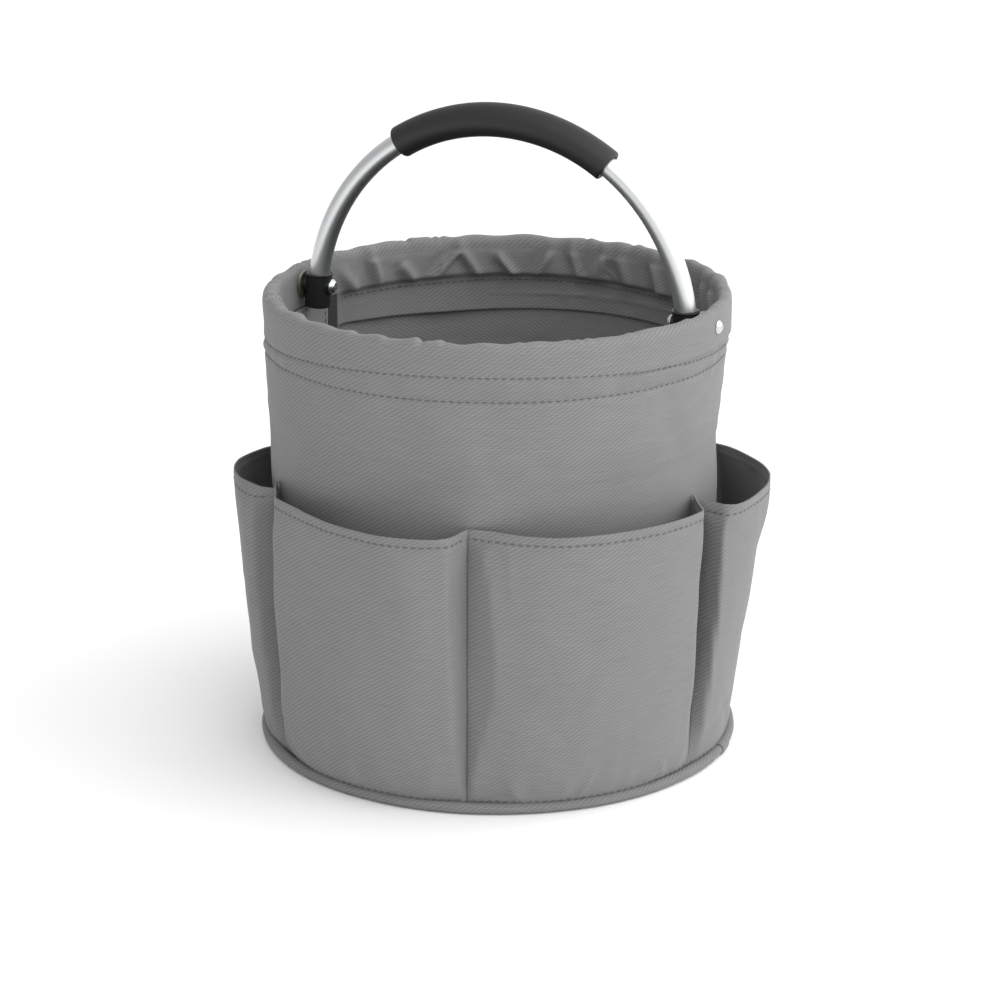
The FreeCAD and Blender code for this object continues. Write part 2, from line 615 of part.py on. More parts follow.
def main():
    fill_sheet()
    make_wall()
    make_hoop()
    make_base()
    make_pockets()
    for side, tag in ((1, "right"), (-1, "left")):
        make_closure(side, tag)
        make_washer(side, tag)
        make_bolt(side, tag)
        make_cap_nut(side, tag)
        make_socket(side, tag)
    make_tube()
    make_grip()
    doc.recompute()
    check()
    os.makedirs("parts", exist_ok=True)
    for item in nodes:
        item.Shape.exportStep(f"parts/{item.Label}.step")


main()
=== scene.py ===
# %% [markdown]
# # A round fabric bucket for tools, with an arch handle
#
# The bucket is a sewn tub of woven polyester.  Its rim is a casing over an aluminium hoop, six patch
# pockets with folded sides stand round the outside, and a bent aluminium tube with a soft grip folds
# down on two pivot bolts.  The lesson keeps the maker's drawing as its frame and gives every soft
# part its real folds, seams and stitches around it.

# %% Load the frame
import math

import bpy
import numpy as np
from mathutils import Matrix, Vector


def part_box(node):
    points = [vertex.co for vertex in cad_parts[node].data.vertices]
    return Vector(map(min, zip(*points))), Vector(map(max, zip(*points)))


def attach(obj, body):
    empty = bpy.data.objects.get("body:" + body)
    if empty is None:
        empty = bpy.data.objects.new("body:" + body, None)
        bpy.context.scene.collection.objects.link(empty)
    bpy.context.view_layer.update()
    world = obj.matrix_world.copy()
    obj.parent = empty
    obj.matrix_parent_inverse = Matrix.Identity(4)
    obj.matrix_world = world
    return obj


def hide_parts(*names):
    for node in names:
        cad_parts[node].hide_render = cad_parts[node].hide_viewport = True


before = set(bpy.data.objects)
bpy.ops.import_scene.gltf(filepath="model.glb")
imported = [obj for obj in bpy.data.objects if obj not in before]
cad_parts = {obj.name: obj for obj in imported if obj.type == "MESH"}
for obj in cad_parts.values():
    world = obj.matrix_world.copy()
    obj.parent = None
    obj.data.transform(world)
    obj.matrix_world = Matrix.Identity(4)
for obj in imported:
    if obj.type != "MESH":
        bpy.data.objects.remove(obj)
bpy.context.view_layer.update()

# %% [markdown]
# ## Sizes
#
# A maker works in millimetres and degrees, and Blender in metres, so one constant stands between
# them.  Azimuths start at the front of the frame, -Y, and grow towards +X.  Every height and radius
# below starts from the boxes of the frame's own parts.

# %% Sizes from the frame
MM = 0.001


def node_top(name):
    """Highest point of a frame part, in millimetres."""
    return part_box(name)[1][2] / MM


RIM_HEIGHT = node_top("bucket_wall")
RIM_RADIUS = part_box("rim_hoop")[1][0] / MM + 1.5
FOOT_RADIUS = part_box("base_cover")[1][0] / MM
PIVOT_HEIGHT = sum(corner[2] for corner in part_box("cap_nut_right")) / 2 / MM
POCKET_HEIGHT = node_top("pocket_1") + 1.0
print("rim", round(RIM_HEIGHT, 1), "radius", round(RIM_RADIUS, 1), "pivots at", round(PIVOT_HEIGHT, 1))

# %% [markdown]
# ## Points round a bucket
#
# Everything sewn here is a sheet that runs round the tub, so one helper turns a radius, an azimuth
# and a height into a point.  Arrays go in as easily as single numbers, which is what makes a whole
# sheet one line of code.

# %% Points and curves


def around(radius, azimuth, height):
    """Points in metres from millimetres and degrees."""
    radius, azimuth, height = np.broadcast_arrays(radius, azimuth, height)
    turn = np.radians(azimuth)
    return np.stack([radius * np.sin(turn), -radius * np.cos(turn), height], axis=-1) * MM


def smooth_between(value, keys, numbers):
    """Numbers at keys, joined by a curve that eases in and out of every key."""
    place = np.interp(value, keys, np.arange(len(keys)))
    low = np.minimum(place.astype(int), len(keys) - 2)
    part = place - low
    part = part * part * (3 - 2 * part)
    numbers = np.asarray(numbers, float)
    return numbers[low] * (1 - part) + numbers[low + 1] * part


def angle_gap(azimuth, centre):
    """Signed difference of azimuths, in degrees, the short way round."""
    return (azimuth - centre + 180) % 360 - 180


# %% [markdown]
# ## Folds
#
# Cloth that is held at a seam and free elsewhere gives its spare width away in folds.  A fold is
# modelled as a narrow ridge with a soft valley beside it, with a length, a width and a lean.  A few
# of them are placed where the cloth is pinched, and a seeded crowd of small ones makes the rest
# uneven, as hand-guided sewing is.

# %% Folds


def fold(across, along, lean, width, length, height):
    """Height field of one fold; across and along are distances in millimetres from its middle."""
    lean = math.radians(lean)
    side = across * math.cos(lean) - along * math.sin(lean)
    run = across * math.sin(lean) + along * math.cos(lean)
    ridge = np.exp(-(side / width) ** 2) - 0.45 * np.exp(-((side - 2.1 * width) / (1.6 * width)) ** 2)
    return height * ridge * np.exp(-(run / length) ** 4)


def crumple(u, v, seed, count, box, width, length, height, lean=70, girth=1e6):
    """Many seeded folds in a box of u and v, all in millimetres; u comes round again after the girth."""
    draw = np.random.RandomState(seed)
    field = np.zeros(np.broadcast(u, v).shape)
    for _ in range(count):
        middle_u, middle_v = draw.uniform(box[0], box[1]), draw.uniform(box[2], box[3])
        scale = draw.uniform(0.6, 1.4)
        across = (u - middle_u + girth / 2) % girth - girth / 2
        field += fold(across, v - middle_v, draw.uniform(-lean, lean), width * scale, length * scale,
                      height * draw.uniform(-1, 1))
    return field


# %% [markdown]
# ## Sheets
#
# A sheet is a grid of points with flat coordinates, in metres of cloth, so that the weave keeps its
# real scale however the sheet is bent.  A solidify modifier then gives it the thickness of the
# cloth, which shows at every cut or folded edge.

# %% Sheets


def mesh_object(name, points, faces, flat=None):
    """A smooth-shaded object from points in metres, faces and flat coordinates per point."""
    mesh = bpy.data.meshes.new(name)
    mesh.from_pydata(np.asarray(points).reshape(-1, 3).tolist(), [], faces)
    if flat is not None:
        layer = mesh.uv_layers.new(name="cloth")
        corners = np.empty(len(mesh.loops), dtype=np.int32)
        mesh.loops.foreach_get("vertex_index", corners)
        layer.data.foreach_set("uv", np.asarray(flat, np.float32).reshape(-1, 2)[corners].ravel())
    mesh.polygons.foreach_set("use_smooth", np.ones(len(mesh.polygons), dtype=bool))
    mesh.update()
    item = bpy.data.objects.new(name, mesh)
    bpy.context.scene.collection.objects.link(item)
    return item


def grid_faces(rows, columns):
    """Four-sided faces of a grid of points."""
    index = np.arange(rows * columns).reshape(rows, columns)
    corners = [index[:-1, :-1], index[:-1, 1:], index[1:, 1:], index[1:, :-1]]
    return np.stack(corners, axis=-1).reshape(-1, 4).tolist()


def flat_lengths(points):
    """Flat coordinates of a grid: its middle row's and middle column's lengths, in metres."""
    rows, columns = points.shape[:2]
    run = np.linalg.norm(np.diff(points[rows // 2], axis=0), axis=1)
    rise = np.linalg.norm(np.diff(points[:, columns // 2], axis=0), axis=1)
    u = np.concatenate([[0], np.cumsum(run)])
    v = np.concatenate([[0], np.cumsum(rise)])
    return np.stack(np.meshgrid(u, v), axis=-1)


def cloth_sheet(name, points, thickness, join_ends=False):
    """A sheet of cloth from a grid of points on its outer face."""
    item = mesh_object(name, points, grid_faces(*points.shape[:2]), flat_lengths(points))
    if join_ends:
        weld = item.modifiers.new("seam", "WELD")
        weld.merge_threshold = 0.05 * MM
    solid = item.modifiers.new("thickness", "SOLIDIFY")
    solid.thickness = thickness * MM
    solid.offset = -1
    solid.use_even_offset = False
    return item


# %% [markdown]
# ## Stitches
#
# A lockstitch shows as a row of short rounded threads that dive into the cloth at both ends.  Each
# is a small pill laid on the finished sheet, so it follows every fold.  The real thread is about
# 0.4 mm thick at 4 mm spacing; it is drawn at twice the thickness so that it shows at arm's length.

# %% Stitches


def sample(grid, rows, columns):
    """Points of a grid at fractional row and column numbers."""
    rows = np.clip(rows, 0, grid.shape[0] - 1.001)
    columns = np.clip(columns, 0, grid.shape[1] - 1.001)
    low_row, low_column = rows.astype(int), columns.astype(int)
    part_row, part_column = (rows - low_row)[:, None], (columns - low_column)[:, None]
    top = grid[low_row + 1, low_column] * (1 - part_column) + grid[low_row + 1, low_column + 1] * part_column
    foot = grid[low_row, low_column] * (1 - part_column) + grid[low_row, low_column + 1] * part_column
    return foot * (1 - part_row) + top * part_row


def face_normals(grid):
    """Unit normals of a grid's outer face."""
    across = np.gradient(grid, axis=1)
    up = np.gradient(grid, axis=0)
    normal = np.cross(across, up)
    return normal / np.maximum(np.linalg.norm(normal, axis=-1, keepdims=True), 1e-12)


THREAD = 0.42
STITCH_PITCH = 4.4
STITCH_FILL = 0.72
PILL_STEPS = 5
PILL_SIDES = 6


def stitch_lines(name, grid, lines):
    """Stitches on a grid along lines of (row numbers, column numbers); one mesh for them all."""
    normals = face_normals(grid)
    points, faces = [], []
    for rows, columns in lines:
        rows, columns = np.broadcast_arrays(np.asarray(rows, float), np.asarray(columns, float))
        path, lift = sample(grid, rows, columns), sample(normals, rows, columns)
        reach = np.concatenate([[0], np.cumsum(np.linalg.norm(np.diff(path, axis=0), axis=1))]) / MM
        for start in np.arange(0.3 * STITCH_PITCH, reach[-1] - STITCH_PITCH, STITCH_PITCH):
            spots = start + np.linspace(0, STITCH_PITCH * STITCH_FILL, PILL_STEPS)
            middle = np.stack([np.interp(spots, reach, path[:, axis]) for axis in range(3)], axis=1)
            out = np.stack([np.interp(spots, reach, lift[:, axis]) for axis in range(3)], axis=1)
            out /= np.linalg.norm(out, axis=1, keepdims=True)
            ahead = np.gradient(middle, axis=0)
            ahead /= np.maximum(np.linalg.norm(ahead, axis=1, keepdims=True), 1e-12)
            beside = np.cross(ahead, out)
            arch = np.array([-0.35, 0.25, 0.4, 0.25, -0.35]) * THREAD * MM
            girth = np.array([0.45, 0.95, 1.0, 0.95, 0.45]) * THREAD * MM
            turn = np.linspace(0, 2 * math.pi, PILL_SIDES, endpoint=False)
            across, upright = np.cos(turn)[None, :, None], np.sin(turn)[None, :, None]
            ring = beside[:, None] * across + out[:, None] * upright
            first = len(points) * PILL_STEPS * PILL_SIDES
            points.append((middle + out * arch[:, None])[:, None] + ring * girth[:, None, None])
            for step in range(PILL_STEPS - 1):
                for side in range(PILL_SIDES):
                    a = first + step * PILL_SIDES + side
                    b = first + step * PILL_SIDES + (side + 1) % PILL_SIDES
                    faces.append((a, b, b + PILL_SIDES, a + PILL_SIDES))
            faces.append(tuple(first + side for side in range(PILL_SIDES))[::-1])
            faces.append(tuple(first + (PILL_STEPS - 1) * PILL_SIDES + side for side in range(PILL_SIDES)))
    item = mesh_object(name, np.array(points), faces)
    print(name, len(points), "stitches")
    return item


# %% [markdown]
# ## Colours and nodes
#
# Colours are written as a designer would, in sRGB hex, and one function turns them to the linear
# values that shaders work with.  One small function adds any node, with its settings and links.

# %% Colour and node helpers


def colour(hex_code):
    """Linear RGBA of an sRGB hex colour."""
    parts = [int(hex_code[start:start + 2], 16) / 255 for start in (1, 3, 5)]
    linear = [part / 12.92 if part <= 0.04045 else ((part + 0.055) / 1.055) ** 2.4 for part in parts]
    return (*linear, 1.0)


def node(tree, kind, links=(), **settings):
    """Add a node, set its properties or inputs, and link its inputs: links are (input, output socket)."""
    item = tree.nodes.new(kind)
    for key, value in settings.items():
        if hasattr(item, key):
            setattr(item, key, value)
        else:
            item.inputs[key.replace("_", " ")].default_value = value
    for key, socket in links:
        tree.links.new(item.inputs[key], socket)
    return item


def material(name, base, roughness, metallic=0.0, **shader_inputs):
    """A new material; returns it with its tree and its Principled shader."""
    item = bpy.data.materials.new(name)
    item.use_nodes = True
    tree = item.node_tree
    shader = tree.nodes["Principled BSDF"]
    for key, value in {"Base Color": base, "Roughness": roughness, "Metallic": metallic}.items():
        shader.inputs[key].default_value = value
    for key, value in shader_inputs.items():
        shader.inputs[key.replace("_", " ")].default_value = value
    return item, tree, shader


# %% [markdown]
# ## Woven polyester
#
# The cloth is a 600 denier polyester in a fine twill, dyed mid grey and coated on the back.  It is
# matt, with a faint bloom of light at grazing angles from the fibres that stand up.  Its threads
# are about 0.5 mm apart, too fine to show from arm's length, so the twill is drawn at 2 mm.  Two
# sets of waves make the ribs of the twill and the threads that cross them, and a stretched noise
# makes some threads thicker than others.

# %% Woven polyester
TWILL_PERIOD = 2.0 * MM
WAVE_TO_PERIOD = 2 * math.pi / 20
WEFT_SHARE = 0.3


def woven(name, dark, light, sheen, bump=0.35):
    """Twill-woven cloth between two shades."""
    item, tree, shader = material(name, colour(light), 0.88, IOR=1.5, Sheen_Weight=sheen,
                                  Sheen_Roughness=0.45, Specular_IOR_Level=0.3)
    flat = node(tree, "ShaderNodeUVMap", uv_map="cloth")
    ribs = node(tree, "ShaderNodeMapping", [("Vector", flat.outputs["UV"])],
                Rotation=(0, 0, math.radians(58)))
    twill = node(tree, "ShaderNodeTexWave", [("Vector", ribs.outputs["Vector"])], bands_direction="X",
                 Scale=WAVE_TO_PERIOD / TWILL_PERIOD, Distortion=0.6, Detail=1.0, Detail_Scale=2.0)
    weft = node(tree, "ShaderNodeTexWave", [("Vector", flat.outputs["UV"])], bands_direction="Y",
                Scale=WAVE_TO_PERIOD / (TWILL_PERIOD * 0.8), Distortion=0.4, Detail=1.0)
    slubs_map = node(tree, "ShaderNodeMapping", [("Vector", flat.outputs["UV"])], Scale=(60, 900, 1))
    slubs = node(tree, "ShaderNodeTexNoise", [("Vector", slubs_map.outputs["Vector"])], Scale=1.0,
                 Detail=2.0)
    wear = node(tree, "ShaderNodeTexNoise", [("Vector", flat.outputs["UV"])], Scale=22.0, Detail=4.0)
    threads = node(tree, "ShaderNodeMath", [(0, weft.outputs["Fac"]), (2, twill.outputs["Fac"])],
                   operation="MULTIPLY_ADD")
    threads.inputs[1].default_value = WEFT_SHARE
    uneven = node(tree, "ShaderNodeMath", [(0, threads.outputs[0]), (1, slubs.outputs["Fac"])],
                  operation="ADD")
    ramp = node(tree, "ShaderNodeMapRange", [("Value", uneven.outputs[0])])
    ramp.inputs["From Min"].default_value = 0.3
    ramp.inputs["From Max"].default_value = 1.9
    shade = node(tree, "ShaderNodeMix", [("Factor", ramp.outputs[0])], data_type="RGBA")
    shade.inputs[6].default_value = colour(dark)
    shade.inputs[7].default_value = colour(light)
    cloudy = node(tree, "ShaderNodeMapRange", [("Value", wear.outputs["Fac"])])
    cloudy.inputs["To Min"].default_value = 0.94
    cloudy.inputs["To Max"].default_value = 1.05
    final = node(tree, "ShaderNodeVectorMath", [(0, shade.outputs[2]), (1, cloudy.outputs[0])],
                 operation="MULTIPLY")
    relief = node(tree, "ShaderNodeBump", [("Height", uneven.outputs[0])], Strength=bump, Distance=0.12 * MM)
    tree.links.new(shader.inputs["Base Color"], final.outputs[0])
    tree.links.new(shader.inputs["Normal"], relief.outputs["Normal"])
    return item


POLYESTER = woven("Woven polyester, mid grey", "#6d6e6d", "#848584", 0.10)
PIPING_CLOTH = woven("Woven polyester binding", "#686968", "#828382", 0.10, 0.25)

# %% [markdown]
# ## Thread, black patch and board
#
# The sewing thread is bonded polyester of the same grey as the cloth.  Its colour is set a shade darker as
# painted shade, for the shadow along each stitch row.  The patch under each pivot is near black, and so matt
# that only its tiny relief catches light.

# %% Sewing materials
# Painted shade: the thread's colour is darker than the cloth's to stand in for the shadow along each stitch
# row.
THREAD_DARKENED_FOR_SHADE, tree, shader = material("Polyester thread, darkened as painted shade", colour("#5b5c5b"), 0.6, IOR=1.5,
                                       Sheen_Weight=0.1)
place = node(tree, "ShaderNodeTexCoord")
twist = node(tree, "ShaderNodeTexWave", [("Vector", place.outputs["Object"])], bands_direction="DIAGONAL",
             Scale=WAVE_TO_PERIOD / (0.6 * MM))
relief = node(tree, "ShaderNodeBump", [("Height", twist.outputs["Fac"])], Strength=0.4, Distance=0.05 * MM)
tree.links.new(shader.inputs["Normal"], relief.outputs["Normal"])

# A near-black matt sheet, put where the region under each pivot is dark.
BLACK_PATCH_CLOTH, tree, shader = material("Near-black matt patch", colour("#0c0d0e"), 0.95, IOR=1.53,
                                   Sheen_Weight=0.3)
place = node(tree, "ShaderNodeTexCoord")
loops = node(tree, "ShaderNodeTexVoronoi", [("Vector", place.outputs["Object"])], Scale=1 / (0.9 * MM))
relief = node(tree, "ShaderNodeBump", [("Height", loops.outputs["Distance"])], Strength=0.8,
              Distance=0.3 * MM)
tree.links.new(shader.inputs["Normal"], relief.outputs["Normal"])

BOARD, tree, shader = material("Grey solid board", colour("#6f6b66"), 0.9, IOR=1.5)
place = node(tree, "ShaderNodeTexCoord")
fibres = node(tree, "ShaderNodeTexNoise", [("Vector", place.outputs["Object"])], Scale=400.0, Detail=3.0)
relief = node(tree, "ShaderNodeBump", [("Height", fibres.outputs["Fac"])], Strength=0.2, Distance=0.1 * MM)
tree.links.new(shader.inputs["Normal"], relief.outputs["Normal"])

# %% [markdown]
# ## Metals
#
# The tube and the hoop are aluminium with a clear satin anodised skin: blasted first, so it has no
# grain lines and a soft, wide highlight.  The bolts are bright zinc plate.  The washers are zinc
# with a yellow-green passivation, which pools unevenly and gives their olive cast.

# %% Metals
ANODISED, tree, shader = material("Satin anodised aluminium", colour("#dcdedf"), 0.34, 1.0)
place = node(tree, "ShaderNodeTexCoord")
grain = node(tree, "ShaderNodeTexNoise", [("Vector", place.outputs["Object"])], Scale=1 / (0.8 * MM),
             Detail=2.0)
rough = node(tree, "ShaderNodeMapRange", [("Value", grain.outputs["Fac"])])
rough.inputs["To Min"].default_value = 0.3
rough.inputs["To Max"].default_value = 0.4
relief = node(tree, "ShaderNodeBump", [("Height", grain.outputs["Fac"])], Strength=0.05, Distance=0.02 * MM)
tree.links.new(shader.inputs["Roughness"], rough.outputs[0])
tree.links.new(shader.inputs["Normal"], relief.outputs["Normal"])

ZINC_BRIGHT, tree, shader = material("Bright zinc plate on steel", colour("#c9cbcc"), 0.22, 1.0)
place = node(tree, "ShaderNodeTexCoord")
handling = node(tree, "ShaderNodeTexNoise", [("Vector", place.outputs["Object"])], Scale=1 / (1.5 * MM),
                Detail=3.0)
rough = node(tree, "ShaderNodeMapRange", [("Value", handling.outputs["Fac"])])
rough.inputs["To Min"].default_value = 0.16
rough.inputs["To Max"].default_value = 0.36
tree.links.new(shader.inputs["Roughness"], rough.outputs[0])

ZINC_OLIVE, tree, shader = material("Yellow-passivated zinc plate", colour("#7e7d6a"), 0.42, 0.85)
place = node(tree, "ShaderNodeTexCoord")
pools = node(tree, "ShaderNodeTexNoise", [("Vector", place.outputs["Object"])], Scale=1 / (3.0 * MM),
             Detail=3.0)
shade = node(tree, "ShaderNodeMix", [("Factor", pools.outputs["Fac"])], data_type="RGBA")
shade.inputs[6].default_value = colour("#6f6c52")
shade.inputs[7].default_value = colour("#a3a090")
tree.links.new(shader.inputs["Base Color"], shade.outputs[2])

# %% [markdown]
# ## Grip and sockets
#
# The grip is a soft moulded sleeve of thermoplastic rubber: almost black, matt, with a very fine
# spark-eroded texture from the mould that spreads its highlight into a broad grey band.  The end
# sockets are injection-moulded nylon, blacker and a little smoother.

# %% Moulded plastics


def moulded(name, base, roughness, grain_size, strength, ior):
    """Moulded plastic with a fine texture from the mould."""
    item, tree, shader = material(name, base, roughness, IOR=ior)
    place = node(tree, "ShaderNodeTexCoord")
    grain = node(tree, "ShaderNodeTexNoise", [("Vector", place.outputs["Object"])],
                 Scale=1 / grain_size, Detail=3.0)
    rough = node(tree, "ShaderNodeMapRange", [("Value", grain.outputs["Fac"])])
    rough.inputs["To Min"].default_value = roughness - 0.06
    rough.inputs["To Max"].default_value = roughness + 0.06
    relief = node(tree, "ShaderNodeBump", [("Height", grain.outputs["Fac"])], Strength=strength,
                  Distance=0.05 * MM)
    tree.links.new(shader.inputs["Roughness"], rough.outputs[0])
    tree.links.new(shader.inputs["Normal"], relief.outputs["Normal"])
    return item


SOFT_RUBBER = moulded("Thermoplastic rubber, charcoal", colour("#18191a"), 0.50, 0.7 * MM, 0.35, 1.5)
NYLON = moulded("Moulded nylon, black", colour("#0b0d0f"), 0.45, 0.9 * MM, 0.2, 1.53)

# %% [markdown]
# ## The tub's cloth
#
# One strip of cloth makes the wall, the casing over the hoop and the hem inside it: up the outside,
# over the rim and down again, then closed by a lapped seam behind the right pivot.  Its outline is drawn as a
# path from the foot to the inner hem.  Two stitch rows below the hoop pull the wall in, and the
# cloth between them puffs a little.  The narrow waist is where the tub sags under its own rim.

# %% The outside of the wall
LEFT_LEAN = -66.0
OUTER_KEYS = [0, 6, 60, 150, 182, 189, 203, 218, 232, 246, 260]
OUTER_MEAN = [133, 133, 131.5, 128.3, 127.7, 128.4, 129.8, 130.9, 131.4, 132.5, 133.2]
OUTER_LEAN = [0, 0, 0.4, 1.6, 2.3, 2.0, 2.0, 1.75, 1.4, 0.55, 0.5]
ROLL_START = 259.5
SIDE_SEAM = 124.0
RIM_RUN = math.pi * RIM_RADIUS / 180
HOOP_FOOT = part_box("rim_hoop")[0][2] / MM
OVER_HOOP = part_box("rim_hoop")[1][0] / MM + 1.3
GIRTH = 360 * RIM_RUN


def upper_row(azimuth):
    """Height of the stitch row just under the hoop, which wanders as it was sewn."""
    turn = np.radians(azimuth - 20)
    return 240.9 + 3.25 * np.cos(turn) + 2.8 * np.cos(2 * turn)


def lower_row(azimuth):
    """Height of the second stitch row, below the first."""
    return 232.0 + 1.0 * np.cos(np.radians(azimuth - 20))


def outer_radius(azimuth, height):
    """Radius of the outside of the wall, with its seams, dents and folds."""
    radius = smooth_between(height, OUTER_KEYS, OUTER_MEAN)
    radius = radius + smooth_between(height, OUTER_KEYS, OUTER_LEAN) * np.cos(np.radians(azimuth - LEFT_LEAN))
    run = azimuth * RIM_RUN
    for row, depth in ((upper_row(azimuth), 0.75), (lower_row(azimuth), 0.6)):
        below = height - row
        pucker = 0.22 * np.sin(run / 5.3 + 2 * np.sin(run / 31)) + 0.18 * np.sin(run / 2.9 + np.sin(run / 17))
        radius = radius - depth * np.exp(-(below / 1.3) ** 2)
        radius = radius + pucker * np.exp(-(below / 6.0) ** 2) * (1 - np.exp(-(below / 1.2) ** 2))
    puff = (height - lower_row(azimuth)) / (upper_row(azimuth) - lower_row(azimuth))
    radius = radius + 0.45 * np.clip(4 * puff * (1 - puff), 0, 1)
    radius = radius + crumple(run, height, 11, 34, (0, GIRTH, 165, 240), 9.0, 26.0, 0.55, girth=GIRTH)
    radius = radius + crumple(run, height, 12, 22, (0, GIRTH, 20, 160), 14.0, 40.0, 0.7, girth=GIRTH)
    dents = [(-38, 200, 30, 15, 38, -0.9), (20, 196, -52, 12, 46, 0.7), (52, 188, 48, 10, 40, 0.8),
             (-8, 181, 74, 9, 60, 0.6), (70, 214, -30, 9, 34, -0.8), (-62, 178, -20, 12, 30, 0.9)]
    for centre, level, lean, width, length, height_of_fold in dents:
        radius = radius + fold(angle_gap(azimuth, centre) * RIM_RUN, height - level, lean, width, length,
                               height_of_fold)
    radius = np.where(height > HOOP_FOOT - 2, np.maximum(radius, OVER_HOOP), radius)
    lap = angle_gap(azimuth, SIDE_SEAM) * RIM_RUN
    return radius + 0.9 / (1 + np.exp(-(6 - np.abs(lap)) * 2.5))


# %% [markdown]
# Inside the rim the same cloth has to follow a smaller ring, so about 5% of its length is spare.
# It goes into slanting folds between the rim and the stitching, except beside the two pivots, where
# the bolts clamp the casing flat.  Below the stitching the cut hem lies against the wall.

# %% The inside of the rim
CLOTH = 1.0
HEM_PLAY = 0.4
CASING_INNER = 125.0
BAGGY_LIMIT = 5.6


def calm(azimuth):
    """1 beside the two pivots, where the casing is clamped flat, and 0 away from them."""
    gap = np.minimum(np.abs(angle_gap(azimuth, 90)), np.abs(angle_gap(azimuth, -90)))
    return 1 / (1 + np.exp((gap - 18) * 0.9))


def baggy(azimuth, height):
    """How far the loose casing stands in from the hoop, in millimetres."""
    run = azimuth * RIM_RUN
    draw = np.random.RandomState(5)
    field = 1.2 + np.zeros(np.broadcast(azimuth, height).shape)
    spot = -178.0
    while spot < 176:
        lean = draw.choice([-1, 1]) * draw.uniform(18, 48)
        field = field + fold(angle_gap(azimuth, spot) * RIM_RUN, height - draw.uniform(246, 256), lean,
                             draw.uniform(2.2, 4.6), draw.uniform(10, 19), draw.uniform(2.0, 4.6))
        spot += draw.uniform(6, 14)
    field = field + crumple(run, height, 9, 60, (0, GIRTH, 236, 262), 1.6, 7.0, 0.7, girth=GIRTH)
    return np.clip(field, -0.3, BAGGY_LIMIT)


def inner_radius(azimuth, height):
    """Radius of the visible face of the turned-in casing and hem."""
    near = calm(azimuth)
    seam = upper_row(azimuth) - 0.5
    wall = smooth_between(height, OUTER_KEYS, OUTER_MEAN) - 2.3
    drop = np.clip((seam - height) / 5.0 + 1, 0, 1)
    drop = drop * drop * (3 - 2 * drop)
    swell = np.clip((263 - height) / 6, 0, 1) * np.clip((height - seam) / 4.0, 0, 1)
    loose = CASING_INNER - baggy(azimuth, height) * swell
    run = azimuth * RIM_RUN
    hem = wall - 0.5 + 0.5 * np.sin(run / 23) - 0.35 * np.sin(run / 9.1)
    hem = hem + 1.0 * np.clip((seam - 6 - height) / 14, 0, 1) * np.sin(run / 37 + 1)
    hem = hem - 0.8 * np.exp(-((height - seam) / 1.4) ** 2)
    hem = np.minimum(hem, outer_radius(azimuth, height) - 2 * CLOTH - HEM_PLAY)
    away = loose * (1 - drop) + hem * drop
    away = np.where(height > HOOP_FOOT - 1, np.minimum(away, CASING_INNER + 0.1), away)
    tight = CASING_INNER + 0.1 + 0 * height
    return away * (1 - near) + tight * near


# %% [markdown]
# The sheet is one grid.  Its rows are spaced by what they have to show: close together over the
# stitching and the rim, wide apart on the plain wall.

# %% Weave the strip
HEM_FOOT = RIM_HEIGHT - 44.5
COLUMNS = 721
azimuths = np.linspace(SIDE_SEAM - 360, SIDE_SEAM, COLUMNS)
outside = np.concatenate([np.arange(3.0, 160, 5.5), np.arange(160, 228, 2.2),
                          np.arange(228, ROLL_START, 0.95)])
roll = np.linspace(0, math.pi, 15)[1:-1]
inside = np.arange(ROLL_START, HEM_FOOT, -1.1)

grid_a, grid_h = np.meshgrid(azimuths, outside)
wall_rows = around(outer_radius(grid_a, grid_h), grid_a, grid_h)
grid_a, grid_r = np.meshgrid(azimuths, roll)
run = grid_a * RIM_RUN
ends = outer_radius(grid_a, ROLL_START + 0 * grid_a), inner_radius(grid_a, ROLL_START + 0 * grid_a)
lift = 6.2 + 0.55 * np.sin(run / 19) * np.sin(run / 7.3) + 0.35 * np.sin(run / 4.1 + 3 * np.sin(run / 40))
lift = lift + 0.9 * np.cos(np.radians(grid_a - 180)) - 0.6 * calm(grid_a)
notches = np.random.RandomState(3)
for centre in np.sort(notches.uniform(-150, 200, 30)):
    gap = angle_gap(grid_a, centre) * RIM_RUN
    notch = np.exp(-(gap / 4.0) ** 2) - 1.1 * np.exp(-((gap - 3) / 1.6) ** 2)
    lift = lift + notches.uniform(0.3, 1.0) * notch
middle, half = (ends[0] + ends[1]) / 2, (ends[0] - ends[1]) / 2
turned = np.sign(np.cos(grid_r)) * np.abs(np.cos(grid_r)) ** 0.8
roll_rows = around(middle + half * turned, grid_a, ROLL_START + lift * np.sin(grid_r) ** 0.9)
grid_a, grid_h = np.meshgrid(azimuths, inside)
hem_wave = 1.0 * np.sin(grid_a * RIM_RUN / 41) * np.clip((ROLL_START - grid_h) / 38, 0, 1)
hem_rows = around(inner_radius(grid_a, grid_h), grid_a, grid_h + hem_wave)
strip = np.concatenate([wall_rows, roll_rows, hem_rows])
strip[:, -1] = strip[:, 0]

wall = cloth_sheet("wall_cloth", strip, CLOTH, join_ends=True)
wall.data.materials.append(POLYESTER)
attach(wall, "bucket")
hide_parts("bucket_wall")

# %% [markdown]
# Row numbers on the strip turn a height into a place for thread.  Two rows run round the outside
# and one shows inside under the casing; the lapped seam at the side has its own pair.

